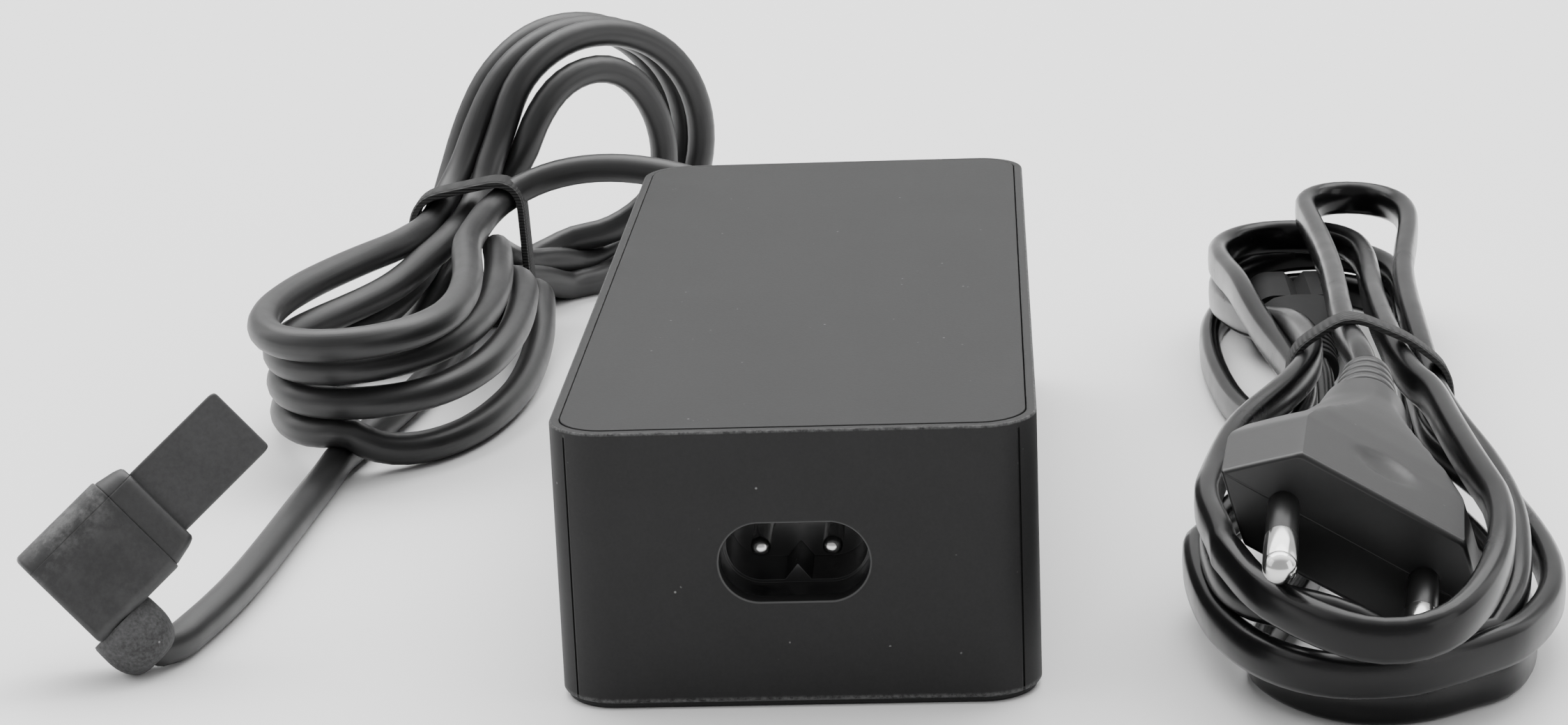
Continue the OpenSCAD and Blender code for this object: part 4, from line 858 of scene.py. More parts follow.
def moulded(name, colour, rough=0.5, grain=0.4, scale=2600.0, mottle=0.15, dust=0.4,
            bump=0.02, coat=0.0, specular=0.5):
    """A moulded plastic or rubber."""
    material, tree, place = start_material(name)
    surface = new_node(tree, "ShaderNodeGroup", node_tree=moulded_surface())
    given = feed(surface, {
        "Vector": place, "Base": colour, "Grain Scale": scale, "Grain": grain,
        "Mottle": mottle, "Dust": dust, "Roughness": rough,
    }).outputs
    return surfaced(material, given["Color"], given["Roughness"], given["Height"], bump,
                    Coat_Weight=coat, Coat_Roughness=0.12, Specular_IOR_Level=specular)


def opened(material):
    """A moulded material's tree, object coordinates and surface, for more work on it."""
    tree = material.node_tree
    return tree, tree.nodes["Texture Coordinate"].outputs["Object"], tree.nodes["Group"].outputs


def plated(name, colour, rough=0.15, wear=0.15):
    """A metal with fine scratches and a change of gloss."""
    material, tree, place = start_material(name)
    fine = noise_of(tree, place, 900.0, 3.0, 0.6)
    broad = between(tree, noise_of(tree, place, 160.0), 0.3, 0.75)
    tint = mixed(tree, broad, colour, [c * 0.72 for c in colour])
    gloss = value_of(tree, "MULTIPLY_ADD", fine, wear, rough, clamp=True)
    return surfaced(material, tint, gloss, fine, 0.006, Metallic=1.0)


def case_plastic(name, s, wear, mottle, bump, specular):
    """Matt plastic of the case, with worn edges, painted highlights on the rim and round the
    mouth, and painted shade in the lines of the mould.
    """
    material = moulded(name, s.plastic, rough=0.54, grain=1.0, scale=3000.0,
                       mottle=mottle, dust=0.8, bump=bump, specular=specular)
    tree, place, surface = opened(material)
    x, y, z = axes(tree, place)
    side, top, front = value_of(tree, "ABSOLUTE", x), s.height, -s.length / 2
    # Lighter band along the rounded top edge of the rim, a painted highlight broken by rubbed
    # chips, and a rubbed line along the lower edge of the wall
    rim = stripe(tree, z, (top - 0.0004, top - 0.0002), (top - 0.00001, top - 0.00006))
    low = stripe(tree, z, (0.0016, 0.0011), (0.0006, 0.0009))
    # Painted highlight along the rounded edge of the inlet's mouth, all round except its top
    mouth = product(
        tree, stripe(tree, y, (front + 0.0003, front + 0.00015), (front, front + 0.00008)),
        between(tree, side, MOUTH_WIDE / 2 + 0.0009, MOUTH_WIDE / 2 + 0.0005),
        between(tree, z, INLET_Z + 0.0056, INLET_Z + 0.005), 0.8,
    )
    chips = between(tree, noise_of(tree, place, 1500.0, 5.0, 0.75), 0.32, 0.66)
    wear_and_highlight = product(tree, value_of(tree, "MAXIMUM", rim, low), chips)
    wear_and_highlight = product(tree, value_of(tree, "MAXIMUM", wear_and_highlight, mouth), wear)
    # Painted shade in the grooves of the mould lines near the upright corners
    off = value_of(tree, "SUBTRACT", side, s.width / 2 - MOULD_LINE_IN)
    line = product(
        tree, between(tree, value_of(tree, "ABSOLUTE", off), 0.00016, 0.0001),
        between(tree, value_of(tree, "ABSOLUTE", y), -front - 0.003, -front - 0.0025),
        between(tree, z, top - 0.001, top - 0.0015), 0.9,
    )
    # The painted highlights on the rim and mouth, and the rubbed wear, are mixed in lighter
    colour = mixed(tree, wear_and_highlight, surface["Color"], (0.2, 0.2, 0.2))
    # Painted shade darkens the mould lines
    colour = mixed(tree, line, colour, (0.001, 0.001, 0.001))
    feed(tree.nodes["Principled BSDF"], {"Base Color": colour})
    return material


def output_plastic(name, colour):
    """Soft grey plastic of the output plug: painted shade in its mould line, and handling scuffs
    over a painted highlight along its -X side.
    """
    material = moulded(name, colour, rough=0.5, grain=0.8, scale=1700.0, mottle=0.9,
                       dust=0.8, bump=0.02)
    tree, place, surface = opened(material)
    x, _, z = own_axes(tree, place, OUTPUT_PLUG)
    # Mould line: a groove, its colour darkened as painted shade
    off = value_of(tree, "ABSOLUTE", value_of(tree, "ADD", x, 0.0047))
    line = product(tree, between(tree, off, 0.00012, 0.00004), between(tree, z, 0.0107, 0.0104))
    scuffs = between(tree, noise_of(tree, place, 300.0, 6.0, 0.72), 0.4, 0.66)
    # Painted highlight along the rounded -X side of the body below the collar, broken up by scuffs
    scuffs_and_highlight = product(tree, between(tree, x, -0.001, -0.0068, 0.12, 1.0), scuffs,
                     between(tree, z, 0.007, 0.0064), 0.62)
    tint = mixed(tree, scuffs_and_highlight, surface["Color"], (0.15, 0.15, 0.15))
    tint = mixed(tree, product(tree, line, 0.7), tint, (0.006, 0.006, 0.006))
    feed(tree.nodes["Principled BSDF"], {"Base Color": tint})
    height = value_of(tree, "MULTIPLY_ADD", line, -4.0, surface["Height"])
    feed(tree.nodes["Bump"], {"Height": height})
    return material


def mains_plastic(name, colour):
    """Glossy black plastic of the mains plug with the parting line through its pins."""
    material = moulded(name, colour, rough=0.36, grain=0.5, scale=1500.0, mottle=0.4,
                       dust=0.6, bump=0.012, specular=0.4)
    tree, place, surface = opened(material)
    across = own_axes(tree, place, MAINS_PLUG)["Y"]
    line = between(tree, value_of(tree, "ABSOLUTE", across), 0.00014, 0.00005)
    height = value_of(tree, "MULTIPLY_ADD", line, 5.0, surface["Height"])
    feed(tree.nodes["Bump"], {"Height": height})
    return material


def cord_sheath(name, colour, rough, bump, specular, streak):
    """Extruded cord sheath: streaks along its length from the piece's own UV map."""
    material, tree, place = start_material(name)
    uv = tree.nodes["Texture Coordinate"].outputs["UV"]
    stretched = new_node(tree, "ShaderNodeMapping", {"Vector": uv, "Scale": (6.0, 40.0, 1.0)})
    streaks = noise_of(tree, stretched.outputs[0], 1.0, 3.0, 0.6)
    patch = noise_of(tree, place, 130.0, 3.0, 0.6)
    fine = noise_of(tree, place, 1900.0, 2.0, 0.6)
    shade = varied(tree, patch, 0.5, varied(tree, streaks, streak, 1.0))
    height = value_of(tree, "MULTIPLY_ADD", fine, 0.35, streaks)
    return surfaced(material, mixed(tree, 1.0, colour, shade, "MULTIPLY"),
                    varied(tree, patch, 0.22, rough, clamp=True), height, bump,
                    Specular_IOR_Level=specular)


def woven_tie(name, colour):
    """Thin woven strap: a small over-and-under weave, with painted light on its crests and painted
    shade where the threads dip.
    """
    material, tree, place = start_material(name)
    weave = product(tree, *(waves_of(tree, place, 620.0, 0.6, way) for way in "ZY"))
    # Painted light and shade: lighter on the weave's crests, darker in its dips
    shade = value_of(tree, "MULTIPLY_ADD", weave, 0.9, 0.6)
    return surfaced(material, mixed(tree, 1.0, colour, shade, "MULTIPLY"),
                    value_of(tree, "MULTIPLY_ADD", weave, -0.2, 0.8), weave, 0.12)


def circuit_laminate(name):
    """Green board with lighter tracks under the lacquer."""
    material, tree, place = start_material(name)
    tracks = between(tree, cells_of(tree, place, 240.0, "DISTANCE_TO_EDGE"), 0.16, 0.2)
    tint = mixed(tree, tracks, (0.012, 0.09, 0.035), (0.03, 0.17, 0.06))
    gloss = value_of(tree, "MULTIPLY_ADD", noise_of(tree, place, 1400.0), 0.15, 0.28)
    return surfaced(material, tint, gloss, tracks, 0.03, 0.6)


def wound_wire(name, colour):
    """Enamelled wire wound side by side, with painted shade in the bands between the turns."""
    material, tree, place = start_material(name)
    turns = waves_of(tree, place, 420.0, 0.3, "DIAGONAL")
    # Darker bands between the turns: painted shade
    tint = mixed(tree, turns, [c * 0.35 for c in colour], colour)
    gloss = value_of(tree, "MULTIPLY_ADD", noise_of(tree, place, 200.0), 0.2, 0.25)
    return surfaced(material, tint, gloss, turns, 0.2, Metallic=0.8)


# ---------------------------------------------------------------- ribbed strain reliefs


def rib_tree():
    """Geometry tree: a tail of ribs and grooves that narrows towards the cord."""
    found = bpy.data.node_groups.get("Ribbed tail")
    if found:
        return found
    tree, given, out = node_group(
        "Ribbed tail", "GeometryNodeTree",
        [("Ribs", "Int", 5), ("Length", "Float", 0.012), ("First Diameter", "Float", 0.0094),
         ("Last Diameter", "Float", 0.0064), ("Groove", "Float", 0.00065), ("Facets", "Int", 40),
         ("Material", "Material", None)],
        [("Geometry", "Geometry")],
    )
    tree.is_modifier = True
    pitch = value_of(tree, "DIVIDE", given["Length"], given["Ribs"])
    # Eight rows of points follow the section of each rib
    rows = value_of(tree, "MULTIPLY", given["Ribs"], 8.0)
    step = value_of(tree, "DIVIDE", given["Length"], rows)
    offset = new_node(tree, "ShaderNodeCombineXYZ", {"Z": step}).outputs[0]
    line = new_node(tree, "GeometryNodeMeshLine",
                    {"Count": value_of(tree, "ADD", rows, 1.0), "Offset": offset}, mode="OFFSET")
    curve = new_node(tree, "GeometryNodeMeshToCurve", {"Mesh": line.outputs[0]})
    z = axes(tree, new_node(tree, "GeometryNodeInputPosition").outputs[0])["Z"]
    along = value_of(tree, "DIVIDE", z, given["Length"])
    number = value_of(tree, "DIVIDE", z, pitch)
    part = value_of(tree, "FRACT", value_of(tree, "ADD", number, 0.0001))
    narrowing = value_of(tree, "SUBTRACT", given["Last Diameter"], given["First Diameter"])
    across = value_of(tree, "MULTIPLY_ADD", along, narrowing, given["First Diameter"])
    groove = product(tree, value_of(tree, "GREATER_THAN", part, 0.68), given["Groove"])
    radius = value_of(tree, "SUBTRACT", product(tree, across, 0.5), groove)
    edge = product(tree, value_of(tree, "LESS_THAN", part, 0.06), 0.00022)
    radius = value_of(tree, "SUBTRACT", radius, edge)
    ring = new_node(tree, "GeometryNodeCurvePrimitiveCircle",
                    {"Resolution": given["Facets"], "Radius": 1.0}, mode="RADIUS")
    tube = new_node(tree, "GeometryNodeCurveToMesh", {
        "Curve": curve.outputs[0], "Profile Curve": ring.outputs[0], "Scale": radius,
        "Fill Caps": True,
    })
    real = new_node(tree, "GeometryNodeRealizeInstances", {"Geometry": tube.outputs[0]})
    dressed = new_node(tree, "GeometryNodeSetMaterial",
                       {"Geometry": real.outputs[0], "Material": given["Material"]})
    feed(out, {0: dressed.outputs[0]})
    return tree


def ribbed_tail(name, material, first, last, length):
    """A ribbed strain relief from its geometry tree, made a plain mesh. Sizes in metres."""
    piece = linked(name, bpy.data.meshes.new(name))
    step = piece.modifiers.new("Ribs", "NODES")
    step.node_group = rib_tree()
    sockets = {
        item.name: item.identifier
        for item in step.node_group.interface.items_tree if item.in_out == "INPUT"
    }
    for label, value in (("Length", length), ("First Diameter", first), ("Last Diameter", last),
                         ("Material", material)):
        step[sockets[label]] = value
    return set_smooth(outward(applied(piece)))


# ---------------------------------------------------------------- case

FINE_EDGE = 0.00012
MOUTH_EDGE = 0.00035
LEDGE_IN = 0.0032
INLET_PIN_OFF = 0.0043
INLET_PIN_RADIUS = 0.0012


class ADAPTER_OT_case(bpy.types.Operator):
    """Make the moulded case: wall, rim, top panel and bottom cover"""

    bl_idname = "adapter.case"
    bl_label = "Case"

    def execute(self, context):
        s = context.scene.adapter_case
        half, top = s.length / 2, s.height
        # Chamfered foot, rounded rim, ledge under the top panel and inner face
        wall = framed(
            "case_wall", s.width, s.length, s.corner,
            [(0.0003, FOOT_Z), (FINE_EDGE, FOOT_Z + 0.0001), (0, FOOT_Z + 0.0003)]
            + arc((s.edge, top - s.edge), s.edge, 180, 90, 8)
            + [(s.rim - FINE_EDGE, top), (s.rim, top - FINE_EDGE), (s.rim, LEDGE_Z),
               (LEDGE_IN, LEDGE_Z), (LEDGE_IN, LEDGE_Z - 0.0016), (s.wall, LEDGE_Z - 0.0026),
               (s.wall, FOOT_Z)],
            closed=True,
        )
        # Mouth of the inlet, its edge rounded, and the hole of the strain relief
        flare = arc((MOUTH_EDGE, MOUTH_EDGE), MOUTH_EDGE, 270, 180, 6)
        rings = []
        for grow, deep in [(0.0004, -0.001)] + flare + [(0, 0.004)]:
            wide, high = MOUTH_WIDE + 2 * grow, MOUTH_HIGH + 2 * grow
            rings.append([(x, deep - half, INLET_Z + z)
                          for x, z in rounded_outline(wide, high, high / 2 - 1e-6, 24)])
        mouth = lofted("mouth", rings)
        hole = placed(turned("hole", [(0, -0.004), (0.0045, -0.004), (0.0045, 0.002), (0, 0.002)]),
                      along_y((0, half, CORD_EXIT_Z)))
        # Lines of the mould, just in from the upright corners
        line_x = s.width / 2 - MOULD_LINE_IN
        line_y = half - s.corner + math.sqrt(s.corner**2 - (s.corner - MOULD_LINE_IN) ** 2)
        lines = []
        for x in (-line_x, line_x):
            for end in (-1, 1):
                near, far = sorted((end * (line_y - 0.00025), end * (line_y + 0.002)))
                lines.append(box("line", (x - 0.0001, near, 0.0014), (x + 0.0001, far, 0.0336)))
        cut(wall, [mouth, hole] + lines)
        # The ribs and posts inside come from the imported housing, without its walls
        wide_in, long_in = s.width / 2 - s.wall + 1e-5, half - s.wall + 1e-5
        ribs = cropped(
            copied("housing", "board_ribs"),
            lambda at: abs(at.x) > wide_in or abs(at.y) > long_in or at.z > LEDGE_Z - 0.0027,
            sides=12,
        )
        plastic = case_plastic("Case plastic", s, wear=0.42, mottle=0.6, bump=0.005, specular=0.22)
        body = weighted(joined_pieces("case_shell", [wall, ribs]))
        finished(body, plastic, ADAPTER, "case", "housing")

        inset = s.rim + s.groove
        panel = framed(
            "top_panel", s.width - 2 * inset, s.length - 2 * inset, s.corner - inset,
            [(0.0002, LEDGE_Z), (0, LEDGE_Z + 0.0002)]
            + arc((FINE_EDGE, top + s.proud - FINE_EDGE), FINE_EDGE, 180, 90, 4),
        )
        grainy = case_plastic("Top panel plastic", s, wear=0.0, mottle=1.0, bump=0.011,
                              specular=0.2)
        finished(weighted(panel), grainy, ADAPTER, "case", "top_cover")

        cover = eased(copied("bottom_cover", "bottom_shell"), rounding=0.0001, segments=2)
        finished(cover, plastic, ADAPTER, "case", "bottom_cover")
        return {"FINISHED"}


class ADAPTER_OT_inlet(bpy.types.Operator):
    """Make the mains inlet: glossy mouth with keying ridges and two domed pins"""

    bl_idname = "adapter.inlet"
    bl_label = "Mains inlet"

    def execute(self, context):
        s = context.scene.adapter_case
        front = -s.length / 2
        black = moulded("Inlet plastic", s.inlet_black, rough=0.24, grain=0.15, scale=1500.0,
                        mottle=0.2, dust=0.5, bump=0.006, coat=0.3)
        block = eased(copied("ac_inlet", "inlet_mouth"), rounding=0.00018, segments=3, angle=50)
        finished(block, black, ADAPTER, "inlet", "ac_inlet")
        section = ([(0, 0.005)] + arc((0, 0.0062), INLET_PIN_RADIUS, -80, 0, 8)
                   + [(INLET_PIN_RADIUS, 0.0184), (0, 0.0184)])
        pins = [placed(turned("pin", section), along_y((x, front, INLET_Z)))
                for x in (-INLET_PIN_OFF, INLET_PIN_OFF)]
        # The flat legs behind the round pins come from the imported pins
        legs = cropped(copied("inlet_pins", "legs"), lambda at: at.y < front + 0.0177, sides=60)
        both = weighted(joined_pieces("inlet_pin_pair", pins + [legs]))
        metal = plated("Pin nickel", context.scene.adapter_plugs.metal, rough=0.16)
        finished(both, metal, ADAPTER, "pin", "inlet_pins")
        return {"FINISHED"}


# ---------------------------------------------------------------- output lead


def output_section(inset):
    """Section of the output plug in millimetres: wide corners at -X, tight ones at +X."""
    wide, tight = max(3.5 - inset, 0.3), max(1.5 - inset / 2, 0.3)
    points = []
    for quarter, (x, y, radius) in enumerate(
        ((1, 1, tight), (-1, 1, wide), (-1, -1, wide), (1, -1, tight))
    ):
        middle = x * (7.4 - inset - radius), y * (5 - inset - radius)
        points += arc(middle, radius, 90 * quarter, 90 * quarter + 90, 10)
    return points


# Height and inset of the plug's body, and height, width and thickness of its hollow tip,
# in millimetres
OUTPUT_BODY = [(-6.7, 0.75)] + arc((-6, 0.7), 0.7, 195, 270, 5) + [
    (6.35, 0.0), (6.62, 0.06), (6.7, 0.2), (6.7, 0.34), (6.62, 0.42), (6.75, 0.36),
    (6.95, 0.33), (9.3, 0.83), (9.8, 1.0), (10.25, 1.2), (10.5, 1.55),
]
OUTPUT_TIP = (
    (8.6, 9.9, 5.2), (24.0, 9.9, 5.2), (24.3, 9.87, 5.19), (24.6, 9.76, 5.15),
    (24.85, 9.56, 5.07), (25.0, 9.3, 4.96), (25.1, 8.8, 4.7), (25.1, 7.9, 3.5),
    (25.0, 7.7, 3.25), (24.8, 7.7, 3.2), (14.1, 7.7, 3.2),
)
# Radius and height of the boot: its foot, its dome and the end inside the cord
OUTPUT_BOOT = [(0, -0.15), (4.45, -0.15), (4.6, 0.2), (4.64, 1.5)] + [
    (0.9 + 3.75 * across**0.75, 2.3 + 4.3 * up) for across, up in arc((0, 0), 1, 0, 81, 9)
] + [(0.9, 6.6), (0, 6.6)]
# Radius and height, in metres, of the collar that holds the strain relief in the wall
RELIEF_NECK = [
    (0, -0.0039), (0.0057, -0.0039), (0.0059, -0.0038), (0.006, -0.0036), (0.006, -0.0023),
    (0.0044, -0.0023), (0.0044, 0.0001), (0.0057, 0.0001), (0.0057, 0.0015), (0.0056, 0.0019),
    (0.0051, 0.0022), (0, 0.0022),
]


class ADAPTER_OT_output_plug(bpy.types.Operator):
    """Make the output plug: square body, collar, tip and boot"""

    bl_idname = "adapter.output_plug"
    bl_label = "Output plug"

    def execute(self, context):
        s = context.scene.adapter_plugs
        body = lofted("output_plug_shell",
                      [ring_at(output_section(inset), z) for z, inset in OUTPUT_BODY])
        slot = box("slot", (-5, -2.65, 8.2), (5, 2.65, 12))
        tip = lofted("output_tip", [
            ring_at(rounded_outline(wide, thick, 0.35 if thick > 4 else 0.2, 4), z)
            for z, wide, thick in OUTPUT_TIP
        ])
        key = box("key", (-0.8, 2.2, 19.1), (0.8, 3.0, 30))
        boot = placed(turned("output_boot", OUTPUT_BOOT, 64),
                      Matrix.Translation((7.4, 0, -3.1)) @ Matrix.Rotation(math.pi / 2, 4, "Y"))
        for piece in (body, slot, tip, key, boot):
            placed(piece, OUTPUT_PLUG_POSE)
        finished(weighted(cut(body, [slot])), output_plastic("Output plug plastic", s.output_grey),
                 ADAPTER, "plug", "dc_plug_body")
        finished(weighted(cut(tip, [key])), output_plastic("Output tip plastic", s.tip_grey),
                 ADAPTER, "tip", "dc_plug_tip")
        rubber = moulded("Boot rubber", (0.05, 0.05, 0.051), rough=0.66, grain=1.0,
                         scale=2400.0, mottle=2.3, dust=1.0, bump=0.1)
        finished(boot, rubber, ADAPTER, "boot", "dc_plug_boot")
        return {"FINISHED"}


class ADAPTER_OT_output_lead(bpy.types.Operator):
    """Lay the output lead: strain relief, round cord in its tied bundle, and tie"""

    bl_idname = "adapter.output_lead"
    bl_label = "Output lead"

    def execute(self, context):
        s = context.scene.adapter_leads
        thick = s.output_thick / MM
        line = settled(OUTPUT_LEAD_LINE, thick, thick, hold=0.03) * MM
        cord = cord_skin("output_cord", line, s.output_thick, s.output_thick, sides=16)
        sheath = cord_sheath("Output cord sheath", s.output_black, rough=0.42, bump=0.02,
                             specular=0.5, streak=0.5)
        finished(cord, sheath, ADAPTER, "cord", "dc_cord_from_case", "dc_hank_front",
                 "dc_hank_rear", "dc_cord_to_plug")

        rubber = moulded("Relief rubber", s.output_black, rough=0.5, grain=0.6, scale=1900.0,
                         mottle=0.3, dust=0.3, bump=0.03)
        tail = ribbed_tail("tail", rubber, first=9.8 * MM, last=7 * MM, length=11.8 * MM)
        placed(tail, Matrix.Translation((0, 0, RELIEF_NECK[-1][1])))
        relief = joined_pieces("output_relief", [turned("neck", RELIEF_NECK), tail])
        placed(relief, along_y((0, context.scene.adapter_case.length / 2, CORD_EXIT_Z)))
        finished(set_smooth(relief), rubber, ADAPTER, "boot", "cord_strain_relief")

        outline = strands_across(line, OUTPUT_TIE_Y, s.output_thick, s.output_thick,
                                 low=-0.08, high=-0.0565)
        band = wrapped_band("output_tie", outline, OUTPUT_TIE_Y, thick=0.0013, deep=0.0056)
        finished(band, woven_tie("Woven tie", s.tie_black), ADAPTER, "tie", "dc_cord_tie")
        return {"FINISHED"}


# ---------------------------------------------------------------- mains lead

# Distance from the pin face, half width and half thickness of the mains plug, all in
# millimetres, and how oval its section is
MAINS_STATIONS = np.array([
    (-41, 5.5, 5, 1), (-35.26, 6.6, 5.3, 0.8), (-29.52, 9, 5.9, 0.4), (-24.6, 11.6, 6.3, 0.15),
    (-18.04, 15.4, 6.7, 0.05), (-12.3, 17.55, 6.85, 0.03), (-0.7, 17.65, 6.85, 0.03),
])
# Radius and height of a pin and of its sleeve, and the lean of the pins towards each other
MAINS_PIN = [
    (0, -6), (1.45, -6), (1.45, 10), (1.85, 10), (2, 10.12), (2, 16.6), (1.93, 16.75),
    (1.93, 16.9),
] + arc((0, 17), 2, 0, 80, 10)[1:] + [(0, 19)]
MAINS_SLEEVE = [(0, -1.9), (1.9, -1.9), (1.9, 9.7), (1.86, 9.85), (1.75, 9.94), (0, 9.94)]
PIN_LEAN = 1.658


def mains_section(wide, thick, soft):
    """Section of the mains plug, a long hexagon that becomes an oval, in millimetres."""
    points, count = [], 144
    flat = max(wide - thick, 0.2)
    for k in range(count):
        a = 2 * math.pi * (k + 0.5) / count
        q, e = abs(math.cos(a)), abs(math.sin(a))
        if wide * q < flat * e:
            hexagon = (wide * q / e, thick)
        else:
            down = wide * q + (wide - flat) * e
            hexagon = (wide * wide * q / down, wide * thick * e / down)
        x = (1 - soft) * hexagon[0] + soft * wide * q
        y = (1 - soft) * hexagon[1] + soft * thick * e
        points.append((math.copysign(x, math.cos(a)), math.copysign(y, math.sin(a))))
    return points


def dimpled(x, y, z):
    """A point of the mains plug, pressed in where the fingers hold both broad sides."""
    out = math.hypot(x / 4.3, (z + 9.5) / 3.6)
    if abs(y) > 6 and out < 1:
        y -= math.copysign(0.55 * (1 - out**2) ** 0.7 * min(1, (1 - out) * 4), y)
    return x, y, z


def tail_from(plug_pose, z):
    """Place of a ribbed tail that runs back from a height in a plug's own frame."""
    return (plug_pose @ Matrix.Translation((0, 0, z)) @ Matrix.Rotation(math.pi, 4, "X")
            @ Matrix.Scale(1 / MM, 4))


class ADAPTER_OT_mains_plug(bpy.types.Operator):
    """Make the flat two-pin mains plug with its sleeved pins and strain relief"""

    bl_idname = "adapter.mains_plug"
    bl_label = "Mains plug"

    def execute(self, context):
        s = context.scene.adapter_plugs
        at, wide, thick, oval = MAINS_STATIONS.T
        rings = []
        for z in np.concatenate([np.arange(-41, -13, 1.0), np.arange(-13, -0.9, 0.4), [-0.7]]):
            # The corners between the straight stretches of the outline are softened
            w = np.interp(z, at, wide)
            w = min(w, (sum(np.interp(z + d, at, wide) for d in (-1.2, -0.6, 0.6, 1.2)) + w) / 5)
            rings.append(ring_at(
                mains_section(w, np.interp(z, at, thick), np.interp(z, at, oval)), z))
        for z, back in arc((-0.7, 0.7), 0.7, -75, 0, 5):
            rings.append(ring_at(mains_section(wide[-1] - back, thick[-1] - back, oval[-1]), z))
        body = lofted("mains_plug_shell", [[dimpled(*p) for p in ring] for ring in rings], 30)
        black = mains_plastic("Mains plug plastic", s.mains_black)
        finished(weighted(placed(body, MAINS_PLUG_POSE), 30), black,
                 MAINS, "plug", "mains_plug_body")

        seats = [
            MAINS_PLUG_POSE @ Matrix.Translation((side * PIN_OFF, 0, 0))
            @ Matrix.Rotation(math.radians(-side * PIN_LEAN), 4, "Y") for side in (-1, 1)
        ]
        metal = plated("Mains pin nickel", s.metal, rough=0.1, wear=0.1)
        matt = moulded("Pin sleeve plastic", (0.006, 0.006, 0.006), rough=0.3, grain=0.3,
                       dust=0.3, bump=0.01, specular=0.2)
        for name, section, steps, finish, slot, node in (
            ("mains_pin_pair", MAINS_PIN, 56, metal, "pin", "mains_plug_pins"),
            ("mains_sleeve_pair", MAINS_SLEEVE, 48, matt, "plug", "mains_pin_sleeves"),
        ):
            pair = joined_pieces(name, [placed(turned("one", section, steps), at) for at in seats])
            finished(set_smooth(pair), finish, MAINS, slot, node)

        tail = ribbed_tail("mains_plug_tail", black, first=9.4 * MM, last=6.4 * MM,
                           length=14 * MM)
        placed(tail, tail_from(MAINS_PLUG_POSE, MAINS_STATIONS[0, 0]))
        finished(tail, black, MAINS, "boot", "mains_plug_relief")
        return {"FINISHED"}


class ADAPTER_OT_connector(bpy.types.Operator):
    """Make the figure-8 connector with its sockets and strain relief"""

    bl_idname = "adapter.connector"
    bl_label = "Appliance connector"

    def execute(self, context):
        s = context.scene.adapter_plugs
        black = moulded("Connector plastic", s.mains_black, rough=0.72, grain=0.4, scale=1500.0,
                        mottle=0.5, dust=0.35, bump=0.015, specular=0.22)
        nose = eased(copied("appliance_connector", "connector_shell"), rounding=0.0003, segments=3,
                     angle=30)
        finished(nose, black, MAINS, "plug", "appliance_connector")
        tail = ribbed_tail("connector_tail", black, first=7.4 * MM, last=6.2 * MM,
                           length=12.4 * MM)
        placed(tail, tail_from(CONNECTOR_POSE, -17))
        finished(tail, black, MAINS, "boot", "connector_relief")
        return {"FINISHED"}


class ADAPTER_OT_mains_lead(bpy.types.Operator):
    """Lay the mains lead: flat glossy cord in its tied bundle, and tie"""

    bl_idname = "adapter.mains_lead"
    bl_label = "Mains lead"

    def execute(self, context):
        s = context.scene.adapter_leads
        line = settled(
            MAINS_LEAD_LINE, s.mains_thin / MM, s.mains_wide / MM, hold=0.06,
            obstacles=(keep_off_mains_plug, keep_off_connector, keep_off_mains_pins),
        ) * MM
        cord = cord_skin("mains_cord", line, s.mains_wide, s.mains_thin, sides=20)
        sheath = cord_sheath("Mains cord sheath", s.mains_black, rough=0.24, bump=0.008,
                             specular=0.22, streak=0.2)
        finished(cord, sheath, MAINS, "mains_cord", "mains_cord_from_plug", "mains_hank_front",
                 "mains_hank_rear", "mains_cord_to_connector")
        outline = strands_across(line, MAINS_TIE_Y, s.mains_thin, s.mains_wide,
                                 low=0.05, high=0.1)
        band = wrapped_band("mains_tie", outline, MAINS_TIE_Y, thick=0.0009, deep=0.0042)
        finished(band, woven_tie("Woven mains tie", s.tie_black), MAINS, "tie", "mains_cord_tie")
        return {"FINISHED"}


# ---------------------------------------------------------------- inside


